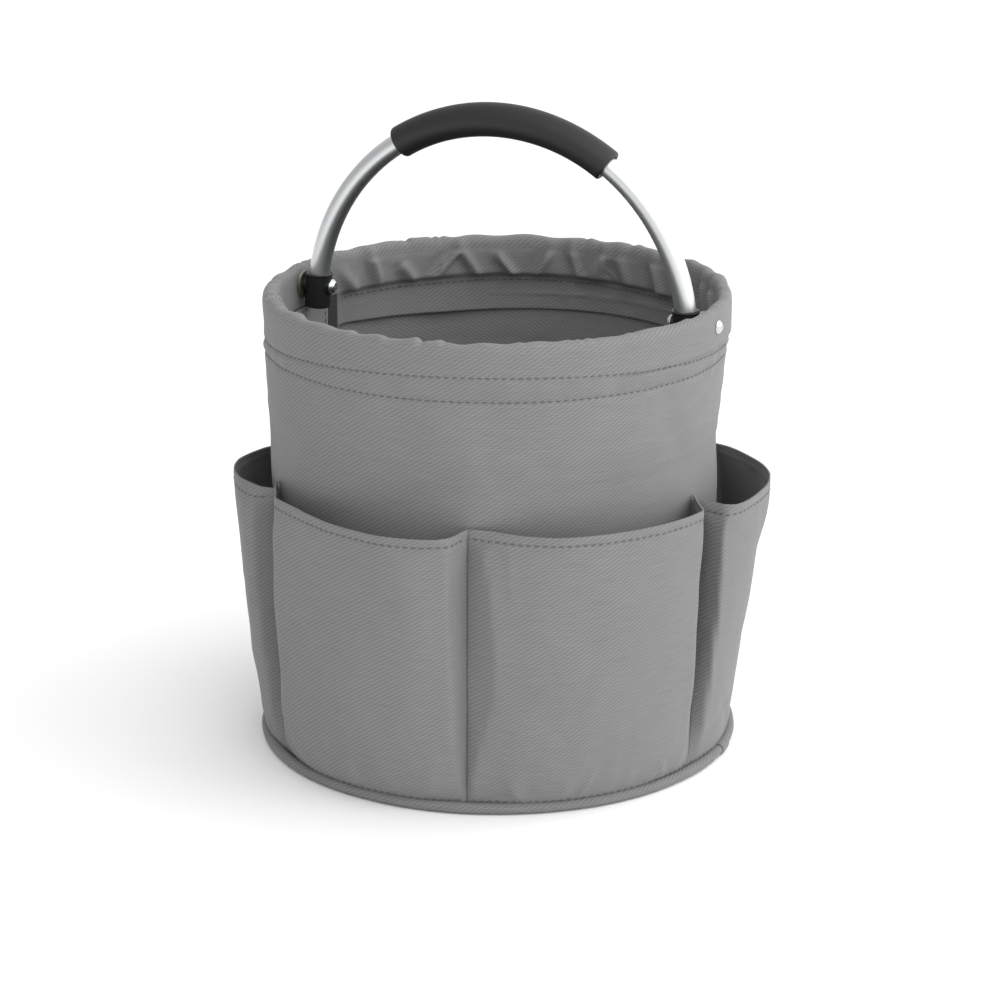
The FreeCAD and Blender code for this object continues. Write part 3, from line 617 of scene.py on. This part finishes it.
# %% Stitch the strip
every_column = np.arange(0, COLUMNS - 1, 1.0)
row_of_height = lambda heights: np.interp(heights, outside, np.arange(len(outside)))
first_inside = len(outside) + len(roll)
inner_row = lambda heights: first_inside + np.interp(-heights, -inside, np.arange(len(inside)))
strip_azimuth = np.interp(every_column, np.arange(COLUMNS), azimuths)
lines = [(row_of_height(upper_row(strip_azimuth)), every_column),
         (row_of_height(lower_row(strip_azimuth)), every_column)]
outer_thread = stitch_lines("casing_stitches", strip, lines)
away_columns = every_column[calm(strip_azimuth) < 0.3]
splits = np.where(np.diff(away_columns) > 1.5)[0] + 1
lines = [(inner_row(upper_row(np.interp(part, np.arange(COLUMNS), azimuths)) - 1.1), part)
         for part in np.split(away_columns, splits)]
inner_thread = stitch_lines("inner_hem_stitches", strip, lines)
seam_rows = np.arange(0, len(outside), 1.0)
lap = 4.2 / RIM_RUN / (360 / (COLUMNS - 1))
seam_thread = stitch_lines("side_seam_stitches", strip, [(seam_rows, lap), (seam_rows, COLUMNS - 1.01 - lap)])
for item in (outer_thread, inner_thread, seam_thread):
    item.data.materials.append(THREAD_DARKENED_FOR_SHADE)
    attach(item, "bucket")

# %% [markdown]
# ## The pockets
#
# Each pocket is one panel, wider than the space it covers.  It is sewn down along two upright
# seams, and the spare width folds back beside each seam, so the front stands out like a box and
# the sides make a narrow valley.  A panel is drawn as a few points of its plan at several heights:
# seam, folded corner, front, folded corner, seam.  The points are joined by a smooth line, with the
# corners kept crisp.

# %% Panel outline
PANEL_COLUMNS = 200
POCKET_STITCH_DROP = 5.0
PANEL_ROWS = 96
CORNER_SOFTNESS = 1.6


def rounded(points, softness, count):
    """Walk along corner points, closely spaced, and soften every corner by a distance in metres."""
    lengths = np.concatenate([[0], np.cumsum(np.linalg.norm(np.diff(points, axis=0), axis=1))])
    fine = np.linspace(0, lengths[-1], 700)
    line = np.stack([np.interp(fine, lengths, points[:, axis]) for axis in range(points.shape[1])], axis=1)
    step = fine[1]
    reach = int(4 * softness / step) + 1
    weights = np.exp(-(np.arange(-reach, reach + 1) * step / softness) ** 2 / 2)
    weights /= weights.sum()
    head = 2 * line[0] - line[reach:0:-1]
    tail = 2 * line[-1] - line[-2:-reach - 2:-1]
    padded_line = np.concatenate([head, line, tail])
    axes = range(points.shape[1])
    soft = np.stack([np.convolve(padded_line[:, axis], weights, "valid") for axis in axes], axis=1)
    lengths = np.concatenate([[0], np.cumsum(np.linalg.norm(np.diff(soft, axis=0), axis=1))])
    even = np.linspace(0, lengths[-1], count)
    return np.stack([np.interp(even, lengths, soft[:, axis]) for axis in range(points.shape[1])], axis=1)


def eased(points, steps=14):
    """A smooth curve through points."""
    padded_points = np.concatenate([[2 * points[0] - points[1]], points, [2 * points[-1] - points[-2]]])
    out = []
    for index in range(len(points) - 1):
        a, b, c, d = padded_points[index:index + 4]
        for t in np.linspace(0, 1, steps, endpoint=False):
            bend = (2 * a - 5 * b + 4 * c - d) * t * t
            out.append(0.5 * (2 * b + (c - a) * t + bend + (3 * b - a - 3 * c + d) * t ** 3))
    return np.array(out + [points[-1]])


def section(seam_left, front, seam_right, height):
    """Plan line of a panel at one height, from (azimuth, radius) pairs."""
    curve = eased(np.array([around(radius, azimuth, 0)[:2] for azimuth, radius in front]))
    first = around(seam_left[1], seam_left[0], 0)[:2]
    last = around(seam_right[1], seam_right[0], 0)[:2]
    plan = rounded(np.concatenate([[first], curve, [last]]), CORNER_SOFTNESS * MM, PANEL_COLUMNS)
    return np.concatenate([plan, np.full((len(plan), 1), height * MM)], axis=1)


# %% [markdown]
# The six panels differ: two in front, a narrower one on each side, whose lip stands open like a
# spout, and two behind.  The tables give, from the lower edge up, the height, the
# left seam's azimuth, the points of the front, and the right seam's azimuth.

# %% Six panels


def wall_radius(azimuth, height):
    """Plain radius of the wall, for a seam that lies on it."""
    level = np.array([height])
    lean = smooth_between(level, OUTER_KEYS, OUTER_LEAN)[0] * math.cos(math.radians(azimuth - LEFT_LEAN))
    return smooth_between(level, OUTER_KEYS, OUTER_MEAN)[0] + lean + 1.3


TOP = POCKET_HEIGHT
PANELS = {
    "pocket_1": [
        (5, 16.4, [(16.8, 135.4), (31, 136.8), (45, 137), (58, 136.8), (71.9, 135.4)], 76.6),
        (16, 16.4, [(17.9, 138), (31, 142), (45, 143.2), (59, 142.4), (72, 139.6)], 77.6),
        (34, 16.4, [(19.2, 140), (31, 145), (45, 146.4), (59, 145.8), (72.4, 142.6)], 78.6),
        (52, 16.4, [(21, 141.5), (32, 146.2), (46, 147.6), (59, 147.2), (72.6, 144.6)], 79.6),
        (69, 16.4, [(23, 142.5), (33, 147), (46, 148.4), (59, 148.2), (72.7, 145.8)], 80.4),
        (100, 16.4, [(23.1, 143.5), (34, 147.6), (47, 149.8), (60, 149.8), (72.8, 147.6)], 81.8),
        (128, 16.4, [(22, 142), (33, 147), (47, 150.2), (60, 150.4), (73, 148.4)], 82.6),
        (148, 16.5, [(20.6, 138), (31, 144.6), (45, 150), (59, 150.4), (73.2, 148.6)], 83),
        (TOP, 16.6, [(19.4, 130.6), (22.5, 132.4), (30.6, 142.6), (38.6, 149), (49.6, 150),
                     (59.7, 149.6), (68.6, 148.6), (73.6, 147.6)], 82.6)],
    "pocket_2": [
        (5, 76.6, [(79.6, 135.2), (90, 136), (101, 135.8), (112, 135.6), (122, 135.8), (133, 135.2)], 135.5),
        (16, 77.6, [(79.8, 138.4), (89, 138.8), (99, 137.6), (110, 136.2), (121, 137.6), (132, 137.6)], 137),
        (34, 78.6, [(79.6, 141.8), (88, 141.8), (98, 140.4), (109, 139), (120, 140.6), (132.6, 140.6)], 138),
        (69, 80.4, [(79.4, 146.2), (87, 146.4), (97, 145.6), (108, 144.4), (120, 144.8), (133, 142.6)], 139),
        (100, 81.8, [(79.6, 149.6), (87, 150.6), (97, 150.4), (108, 148.8), (120, 148), (133.4, 143)], 139.6),
        (128, 82.6, [(79.6, 150.6), (86, 152.8), (97, 153.8),
                     (108, 152.4), (120, 149.6), (133.6, 142.6)], 140),
        (148, 83, [(80.2, 150.6), (86, 154.4), (97, 156.4), (108, 155.4), (119, 151), (133.6, 141)], 140),
        (TOP - 3, 82.8, [(83.4, 141), (83.2, 147.6), (85.2, 153), (91.1, 155.9), (99.2, 156.4),
                           (107.9, 155.8), (115.3, 152.2), (123.2, 147), (129.5, 142.6), (134, 137)], 139.6)],
    "pocket_5": [
        (5, -96, [(-94, 135.2), (-83, 136.6), (-73, 136.8), (-62, 136.6), (-52, 136.4), (-44, 135.2)], -42.4),
        (16, -97, [(-93, 137.4), (-83, 139.6), (-73, 139.8),
                   (-62, 139.4), (-53, 139.4), (-45, 137.8)], -43.2),
        (34, -97.4, [(-92, 140), (-83, 142.4), (-73, 142.8),
                     (-61, 142.2), (-52, 142.4), (-45.4, 140.8)], -44.2),
        (69, -98, [(-91, 143), (-82, 145.6), (-72, 146.2), (-61, 145.6), (-52, 145.4), (-47, 143.6)], -46),
        (100, -98, [(-90, 144.6), (-81, 147.8), (-72, 148.8),
                    (-61, 148.2), (-52, 147.8), (-48.4, 145.6)], -47.4),
        (128, -97.6, [(-89.5, 145), (-81, 149.4), (-72, 150.8),
                      (-62, 150.6), (-53, 149.4), (-49.4, 146)], -48.4),
        (148, -97, [(-89, 144), (-81, 149.8), (-72, 152.6), (-63, 152.2), (-54, 149.6), (-50, 145)], -49),
        (TOP - 5, -96.5, [(-88.5, 138), (-84, 145.4), (-78, 150.3), (-73.1, 153), (-66.3, 152.4),
                            (-60.2, 148.9), (-56.1, 143.9), (-51.6, 138.6)], -49.6)],
    "pocket_6": [
        (5, -42.4, [(-31.6, 135.4), (-22, 137), (-9, 137.2), (4, 136.8), (16, 135.4)], 16.4),
        (16, -43.2, [(-32, 141.4), (-22, 143), (-9, 143.4), (3, 142.4), (14.8, 138.6)], 16.4),
        (34, -44.2, [(-32.4, 145.2), (-22, 146.6), (-9, 147), (3, 146), (14, 141.5)], 16.4),
        (69, -46, [(-32.8, 147.6), (-22, 148.6), (-9, 149.4), (3, 148.6), (13.4, 144)], 16.4),
        (100, -47.4, [(-33, 149), (-22, 149.8), (-9, 150.8), (4, 150.2), (13.3, 146)], 16.4),
        (128, -48.4, [(-33.2, 149.2), (-23, 149.2), (-9, 150.8), (3, 151.4), (13.2, 147)], 16.4),
        (148, -49, [(-33.6, 148.4), (-24, 147.6), (-9, 150.6), (3, 152.4), (13.2, 147.4)], 16.5),
        (TOP, -49.5, [(-36.5, 143.6), (-29.5, 142.8), (-13.6, 149.6), (-0.3, 154.6), (9.6, 152.4),
                      (13.4, 146), (15.2, 137)], 16.5)],
    "pocket_3": [
        (5, 135.5, [(138.5, 135.4), (152, 136.8), (168, 137), (185, 136.8), (199.3, 135.4)], 201),
        (34, 138, [(144.6, 141.2), (155, 145.2), (170, 146.4), (186, 145.2), (197.2, 141)], 201),
        (69, 139, [(146, 143), (156, 147.2), (170, 148.4), (185, 147.2), (196.2, 142.6)], 201),
        (128, 140, [(146.6, 143.6), (157, 148.4), (171, 150.2), (185, 148.6), (195.6, 143.4)], 201),
        (TOP, 140, [(147.4, 139.4), (157, 146.6), (171, 150.4), (184, 147.6), (195.4, 139)], 201)],
    "pocket_4": [
        (5, 201, [(202.8, 135.4), (216, 136.8), (231, 137), (247, 136.8), (261, 135.4)], 264),
        (34, 201, [(205, 141.2), (216, 145.2), (231, 146.4), (247, 145.2), (257.5, 141.2)], 262.6),
        (69, 201, [(206, 142.8), (217, 147.2), (231, 148.4), (246, 147), (256, 142.8)], 262),
        (128, 201, [(206.4, 143.4), (217, 148.4), (231, 150.2), (245, 148.6), (255.4, 143.2)], 262.2),
        (TOP, 201, [(206.8, 139), (218, 147), (231, 150.2), (244, 147.4), (254.6, 139.4)], 263)],
}

# %% [markdown]
# The levels are then joined upwards with an eased curve, and the cloth gets what sewing does to it:
# a turned top hem with a groove under its stitching, puckers where the lower edge is gathered into
# the base, long soft dents, and a lip that dips between its two seams.

# %% Shape the panels


def panel_grid(levels):
    """A grid of points for one panel from its levels."""
    lines, heights = [], []
    for height, left, front, right in levels:
        seam_left, seam_right = (left, wall_radius(left, height)), (right, wall_radius(right, height))
        lines.append(section(seam_left, front, seam_right, height))
        heights.append(height)
    lines, heights = np.array(lines), np.array(heights)
    top = heights[-1]
    levels_up = np.concatenate([np.linspace(heights[0], 24, 20, endpoint=False),
                                np.linspace(24, top - 14, PANEL_ROWS - 40, endpoint=False),
                                np.linspace(top - 14, top, 20)])
    fine = []
    for level in levels_up:
        index = min(int(np.searchsorted(heights, level, "right")) - 1, len(heights) - 2)
        span = heights[index + 1] - heights[index]
        part = (level - heights[index]) / span
        before, after = lines[max(index - 1, 0)], lines[min(index + 2, len(heights) - 1)]
        low, high = lines[index], lines[index + 1]
        reach_low = heights[index + 1] - heights[max(index - 1, 0)]
        reach_high = heights[min(index + 2, len(heights) - 1)] - heights[index]
        slope_low, slope_high = (high - before) / reach_low * span, (after - low) / reach_high * span
        square, cube = part * part, part ** 3
        row = (low * (2 * cube - 3 * square + 1) + slope_low * (cube - 2 * square + part)
               + high * (3 * square - 2 * cube) + slope_high * (cube - square))
        row[:, 2] = level * MM
        fine.append(row)
    return np.array(fine), levels_up


def sewn(grid, levels_up, seed):
    """Push a panel's grid in and out along its normals: hem, puckers and folds."""
    normals = face_normals(grid)
    run = np.concatenate([[0], np.cumsum(np.linalg.norm(np.diff(grid[len(grid) // 2], axis=0), axis=1))]) / MM
    along, level = np.meshgrid(run, levels_up)
    width, top, foot = run[-1], levels_up[-1], levels_up[0]
    below = top - level
    stitched = np.exp(-((below - POCKET_STITCH_DROP) / 1.0) ** 2)
    field = -0.45 * stitched + 0.3 * np.clip((6.5 - below) / 1.5, 0, 1)
    hem_pucker = 0.2 * np.sin(along / 3.4 + 2 * np.sin(along / 19 + seed)) * np.exp(-((below - 5) / 4.0) ** 2)
    lip = 0.5 * np.sin(along / 17 + seed) * np.clip(1 - below / 14, 0, 1)
    draw = np.random.RandomState(seed)
    gathers = np.zeros_like(field)
    for _ in range(9):
        middle = draw.uniform(0.12, 0.88) * width
        gathers += fold(along - middle, level - foot - 6, draw.uniform(-50, 50), draw.uniform(2.2, 4.5),
                        draw.uniform(10, 20), draw.uniform(0.4, 1.0))
    fade = np.clip((level - foot) / 6, 0, 1)
    edges = np.clip(np.minimum(along, width - along) / 12, 0, 1)
    dents = crumple(along, level, seed + 50, 16, (0, width, foot, top), 13.0, 34.0, 1.1)
    creases = crumple(along, level, seed + 80, 12, (0, width, foot, top), 3.2, 22.0, 0.45)
    field = field + hem_pucker + (gathers * fade + dents + creases + lip) * edges * fade
    return grid + normals * (field * MM)[..., None]


pocket_grids = {}
for number, (name, levels) in enumerate(PANELS.items(), start=1):
    plain, levels_up = panel_grid(levels)
    pocket_grids[name] = (sewn(plain, levels_up, number), levels_up)
    print(name, "cut", np.round(np.linalg.norm(np.diff(plain[60], axis=0), axis=1).sum(), 3), "m wide")

# %% [markdown]
# Every panel becomes a sheet of cloth and gets its thread: one row under
# the top hem and one along the base.  The upright seams are sewn from inside and show no thread.

# %% Panels and their thread
PANEL_CLOTH = 0.9
for name, (grid, levels_up) in pocket_grids.items():
    panel = cloth_sheet(name + "_cloth", grid, PANEL_CLOTH)
    panel.data.materials.append(POLYESTER)
    high = float(np.linalg.norm(np.diff(grid[:, PANEL_COLUMNS // 2], axis=0), axis=1).sum())
    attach(panel, "bucket")
    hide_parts(name)
    columns = np.arange(2, PANEL_COLUMNS - 2, 1.0)
    hem_row = np.interp(levels_up[-1] - POCKET_STITCH_DROP, levels_up, np.arange(PANEL_ROWS))
    thread = stitch_lines(name + "_stitches", grid, [(hem_row, columns), (2.0, columns)])
    thread.data.materials.append(THREAD_DARKENED_FOR_SHADE)
    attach(thread, "bucket")

# %% [markdown]
# ## The base
#
# The piping is a cord wrapped in a strip of the same cloth, sewn into the base seam.  It is swept
# round a ring as a roll with its seam allowance behind, and it wobbles a little because it was
# eased round by hand.  The two ends meet under a short wrapped band on the right.

# %% Piping
PIPING_RING = (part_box("base_piping")[1][0] / MM) - 3.0
ROLL = 3.0
RING_STEPS = 541


def ring_sheet(start, end, profile, steps, wobble):
    """A strip swept round the bucket: profile is radius and height offsets in millimetres."""
    turns = np.linspace(start, end, steps)
    rows = []
    for offset, height in profile:
        ripple = wobble * (np.sin(np.radians(turns) * 9) + 0.6 * np.sin(np.radians(turns) * 23 + height))
        rows.append(around(PIPING_RING + offset + ripple, turns, height + 0 * turns))
    return np.array(rows)


curl = np.linspace(math.radians(-160), math.radians(160), 19)[::-1]
profile = [(-5.4, 3.6)] + [(ROLL * math.cos(a), ROLL + ROLL * math.sin(a)) for a in curl] + [(-5.4, 2.3)]
profile = profile[::-1]
piping_grid = ring_sheet(0, 360, profile, RING_STEPS, 0.12)
piping_grid[:, -1] = piping_grid[:, 0]
piping = cloth_sheet("piping_cloth", piping_grid, 0.4, join_ends=True)
piping.data.materials.append(PIPING_CLOTH)
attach(piping, "bucket")
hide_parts("base_piping")

low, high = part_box("piping_join")
JOIN_AZIMUTH = math.degrees(math.atan2((low[0] + high[0]) / 2, -(low[1] + high[1]) / 2))
curl = np.linspace(math.radians(-120), math.radians(125), 15)
profile = [((ROLL + 0.75) * math.cos(a), max(ROLL + (ROLL + 0.75) * math.sin(a), 0.02)) for a in curl]
band_grid = ring_sheet(JOIN_AZIMUTH - 2.4, JOIN_AZIMUTH + 2.4, profile, 21, 0.0)
band = cloth_sheet("piping_join_band", band_grid, 0.6)
band.data.materials.append(PIPING_CLOTH)
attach(band, "bucket")
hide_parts("piping_join")
thread = stitch_lines("piping_stitches", piping_grid, [(2.0, np.arange(1, RING_STEPS - 1.0))])
thread.data.materials.append(THREAD_DARKENED_FOR_SHADE)
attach(thread, "bucket")

# %% [markdown]
# The base itself is cloth underneath, a stiff board, and a lining cut a little too large, so that
# it dishes up at its edge and shows a few soft ripples.

# %% Base cloths


def disc_grid(radius, height, seed, rise, ripple):
    """A round sheet as rings from a tiny middle ring outwards."""
    rings = np.linspace(0.5, radius, 48)
    turns = np.linspace(0, 360, 181)
    turn, ring = np.meshgrid(turns, rings)
    share = ring / radius
    draw = np.random.RandomState(seed)
    field = np.zeros_like(share)
    for waves in (2, 3, 5, 7):
        height_of_wave = ripple * draw.uniform(0.3, 1)
        field += height_of_wave * np.sin(np.radians(turn) * waves + draw.uniform(0, 6)) * share ** 2
    edge = rise * np.clip((share - 0.93) / 0.07, 0, 1) ** 2
    return around(ring, turn, height + field * (1 - np.clip((share - 0.9) / 0.1, 0, 1)) + edge)


lining_top = node_top("base_lining")
lining_grid = disc_grid(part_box("base_lining")[1][0] / MM, lining_top + 0.5, 4, 2.0, 0.35)
lining_grid[:, -1] = lining_grid[:, 0]
lining = cloth_sheet("lining_cloth", lining_grid[:, ::-1], 0.9, join_ends=True)
cover_grid = disc_grid(FOOT_RADIUS, 0.05, 6, 1.0, 0.0)
cover_grid[:, -1] = cover_grid[:, 0]
cover = cloth_sheet("cover_cloth", cover_grid, 0.9, join_ends=True)
for item, stands_for, size in ((lining, "base_lining", 0.264), (cover, "base_cover", 0.267)):
    item.data.materials.append(POLYESTER)
    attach(item, "bucket")
    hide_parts(stands_for)

# %% [markdown]
# ## The patch and flap under each pivot
#
# Under each pivot a near-black sheet lies on the hem, and a grey flap lies over it.

# %% Patch and flap


def plate_grid(node_name, margin, rows, columns, bend, seed):
    """A curved rectangle of cloth in the place of a frame part, facing the middle of the bucket."""
    low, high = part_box(node_name)
    side = 1 if low[0] > 0 else -1
    radius = min(abs(low[0]), abs(high[0])) / MM
    reach = math.degrees(math.asin(min((high[1] - low[1]) / 2 / MM / (radius + 4), 0.99))) - margin
    turn, level = np.meshgrid(np.linspace(-reach, reach, columns),
                              np.linspace(low[2] / MM, high[2] / MM, rows))
    share_u, share_v = turn / reach, (level - low[2] / MM) / ((high[2] - low[2]) / MM)
    corner = 1 - 0.02 * np.abs(share_u) ** 8
    outer = max(abs(low[0]), abs(high[0])) / MM
    relief = bend * np.sin(3 * share_u + seed) * (1 - share_v) + 0.15 * np.sin(9 * share_u + seed)
    azimuth = (90 if side > 0 else -90) - turn * corner
    return around(outer - 1.0 - relief, azimuth, level)


for tag in ("left", "right"):
    for part, finish, slot_name, bend in (("patch", BLACK_PATCH_CLOTH, "hook_and_loop", 0.05),
                                          ("flap", POLYESTER, "woven_polyester", 0.5)):
        name = f"closure_{part}_{tag}"
        grid = plate_grid(name, 0.0, 20, 46, bend, 1.5 if tag == "left" else 0.2)
        piece = cloth_sheet(f"{part}_{tag}_cloth", grid, 0.7)
        piece.data.materials.append(finish)
        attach(piece, "bucket")
        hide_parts(name)
        size = (0.070, 0.021) if part == "patch" else (0.050, 0.0175)
        if part == "flap":
            upwards = np.arange(2, 19, 1.0)
            lines = [(2.5, np.arange(2, 44, 1.0)), (upwards, 2.5), (upwards, 42.5)]
            thread = stitch_lines(f"flap_{tag}_stitches", grid, lines)
            thread.data.materials.append(THREAD_DARKENED_FOR_SHADE)
            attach(thread, "bucket")

# %% [markdown]
# ## The handle
#
# The tube is metal and its shape in the frame is exact, so it keeps its mesh and gets its finish.
# The grip is soft: it is swept along the same arch, swells very slightly towards the middle, and has
# rounded rims that stand a hair off the tube.

# %% Grip
low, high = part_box("handle_tube")
TUBE_RADIUS = (high[1] - low[1]) / 2 / MM
grip_low, grip_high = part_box("handle_grip")
GRIP_RADIUS = (grip_high[1] - grip_low[1]) / 2 / MM
CROWN = (high[2] / MM) - TUBE_RADIUS
ARCH_DROP = 9.0
ARCH_CENTRE = PIVOT_HEIGHT - ARCH_DROP
ARCH_RADIUS = CROWN - ARCH_CENTRE
GRIP_START, GRIP_END = -32.0, 35.5


def swept(name, start, end, stations, sides=48):
    """A closed sleeve round the arch; stations are (share of the arc, radius) pairs, outside then bore."""
    turns = np.linspace(0, 2 * math.pi, sides, endpoint=False)
    points = []
    for share, radius in stations:
        lean = math.radians(start + (end - start) * share)
        outward = np.array([math.sin(lean), 0, math.cos(lean)])
        beside = np.array([0.0, 1.0, 0.0])
        middle = np.array([0, 0, ARCH_CENTRE]) + outward * ARCH_RADIUS
        ring = middle + radius * (np.cos(turns)[:, None] * outward + np.sin(turns)[:, None] * beside)
        points.append(ring * MM)
    count = len(stations)
    faces = []
    for step in range(count):
        for side in range(sides):
            a, b = step * sides + side, step * sides + (side + 1) % sides
            c, d = ((step + 1) % count) * sides + (side + 1) % sides, ((step + 1) % count) * sides + side
            faces.append((a, d, c, b))
    return mesh_object(name, np.array(points), faces)


def sleeve_stations(radius, bore, edge, arc, swell, count):
    """Outside of a sleeve with rounded rims, then back through its bore; lengths in millimetres."""
    stations = []
    for angle in np.linspace(0, 90, 8):
        t = math.radians(angle)
        stations.append((edge * (1 - math.sin(t)) / arc, radius - edge * (1 - math.cos(t))))
    stations = [(share, r) for share, r in sorted(stations)]
    middle = [(share, radius + swell * math.sin(math.pi * share) ** 2)
              for share in np.linspace(0.03, 0.97, count)]
    tail = [(1 - share, r) for share, r in reversed(stations)]
    bore_stations = [(share, bore) for share in np.linspace(1 - 0.3 * edge / arc, 0.3 * edge / arc, 12)]
    return stations + middle + tail + bore_stations


arc = math.radians(GRIP_END - GRIP_START) * ARCH_RADIUS
grip = swept("grip_sleeve", GRIP_START, GRIP_END,
             sleeve_stations(GRIP_RADIUS - 0.25, TUBE_RADIUS + 0.12, 1.5, arc, 0.35, 60))
grip.data.materials.append(SOFT_RUBBER)
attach(grip, "handle")
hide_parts("handle_grip")
print("grip arc", round(arc, 1), "mm, arch radius", round(ARCH_RADIUS, 1))

# %% [markdown]
# Each end socket is a plain moulded cup in the frame.  The real one has a small bead round its
# mouth, where the mould parts, so a thin ring is added there.

# %% Socket beads


def bead(name, side):
    """A thin ring round a socket's mouth."""
    level = PIVOT_HEIGHT + 6.9
    centre_x = side * math.sqrt(ARCH_RADIUS ** 2 - (level - ARCH_CENTRE) ** 2)
    major, minor, sides, rounds = SOCKET_BEAD, 0.65, 56, 10
    points, faces = [], []
    for index in range(sides):
        turn = 2 * math.pi * index / sides
        for step in range(rounds):
            roll_angle = 2 * math.pi * step / rounds
            radius = major + minor * math.cos(roll_angle)
            points.append((centre_x + radius * math.cos(turn), radius * math.sin(turn),
                           level + minor * math.sin(roll_angle)))
            here, ahead = index * rounds, ((index + 1) % sides) * rounds
            after = (step + 1) % rounds
            faces.append((here + step, ahead + step, ahead + after, here + after))
    return mesh_object(name, np.array(points) * MM, faces)


SOCKET_BEAD = 7.5
for side, tag in ((1, "right"), (-1, "left")):
    ring = bead(f"socket_bead_{tag}", side)
    ring.data.materials.append(NYLON)
    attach(ring, "handle")

# %% [markdown]
# ## Finishes for the frame's own parts
#
# The metal parts and the moulded sockets keep their meshes from the frame and take a finish.

# %% Assign the finishes
FINISHES = {
    "handle_tube": ANODISED, "rim_hoop": ANODISED, "base_board": BOARD,
    "socket_left": NYLON, "socket_right": NYLON,
    "spacer_washer_left": ZINC_OLIVE, "spacer_washer_right": ZINC_OLIVE,
    "pivot_bolt_left": ZINC_BRIGHT, "pivot_bolt_right": ZINC_BRIGHT,
    "cap_nut_left": ZINC_BRIGHT, "cap_nut_right": ZINC_BRIGHT,
}
for name, finish in FINISHES.items():
    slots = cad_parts[name].data.materials
    slots.clear()
    slots.append(finish)
print(len(FINISHES), "frame parts finished")

# %% [markdown]
# ## Floor, light and camera
#
# A product table: a white floor that runs far back, a white surround that is brighter on the right,
# and two large soft lights, a strong one from the right and a weaker one from the front, so the right
# side of the tub is brighter than the left.

# %% Floor
floor_size = 30.0
floor = mesh_object("floor", [(-floor_size, -floor_size, -0.0006), (floor_size, -floor_size, -0.0006),
                              (floor_size, floor_size, -0.0006), (-floor_size, floor_size, -0.0006)],
                             [(0, 1, 2, 3)])
PAPER, tree, shader = material("Matt white paper", colour("#ffffff"), 0.9)
floor.data.materials.append(PAPER)

KEY_DIRECTION = (math.sin(math.radians(110)), -math.cos(math.radians(110)), 0)
DARK_SIDE, BRIGHT_SIDE = 0.45, 1.6
world = bpy.data.worlds.new("White surround, brighter on the right")
world.use_nodes = True
surround = world.node_tree.nodes["Background"]
surround.inputs["Color"].default_value = (1, 1, 1, 1)
place = node(world.node_tree, "ShaderNodeTexCoord")
towards_key = node(world.node_tree, "ShaderNodeVectorMath", [(0, place.outputs["Generated"])],
                   operation="DOT_PRODUCT")
towards_key.inputs[1].default_value = KEY_DIRECTION
brightness = node(world.node_tree, "ShaderNodeMapRange", [("Value", towards_key.outputs["Value"])])
for key, value in {"From Min": -1.0, "From Max": 1.0, "To Min": DARK_SIDE, "To Max": BRIGHT_SIDE}.items():
    brightness.inputs[key].default_value = value
world.node_tree.links.new(surround.inputs["Strength"], brightness.outputs[0])
scene = bpy.context.scene
scene.world = world
scene.view_settings.view_transform = "Standard"

# %% Soft lights


def soft_light(name, azimuth, elevation, distance, size, watts):
    """A square area light aimed at the middle of the bucket."""
    lamp = bpy.data.lights.new(name, "AREA")
    lamp.energy = watts
    lamp.size = size
    item = bpy.data.objects.new(name, lamp)
    turn, lift = math.radians(azimuth), math.radians(elevation)
    target = Vector((0, 0, 0.16))
    away = Vector((math.sin(turn) * math.cos(lift), -math.cos(turn) * math.cos(lift), math.sin(lift)))
    item.location = target + away * distance
    item.rotation_euler = (-away).to_track_quat("-Z", "Y").to_euler()
    scene.collection.objects.link(item)


soft_light("key", 105, 38, 1.8, 1.7, 11)
soft_light("front_fill", 30, 45, 1.8, 1.4, 6)

# %% [markdown]
# The camera stands a little above the rim, turned by a quarter of a right angle and a bit more from
# the handle's plane, with a long lens.

# %% Camera
CAMERA_AZIMUTH = 23.7
CAMERA_DIP = 17.54
lens = bpy.data.cameras.new("camera")
lens.lens = 107.75
lens.sensor_width = 36.0
camera = bpy.data.objects.new("camera", lens)
camera.location = (0.6675, -1.5177, 0.662)
camera.rotation_euler = (math.radians(90 - CAMERA_DIP), 0, math.radians(CAMERA_AZIMUTH))
scene.collection.objects.link(camera)
scene.camera = camera
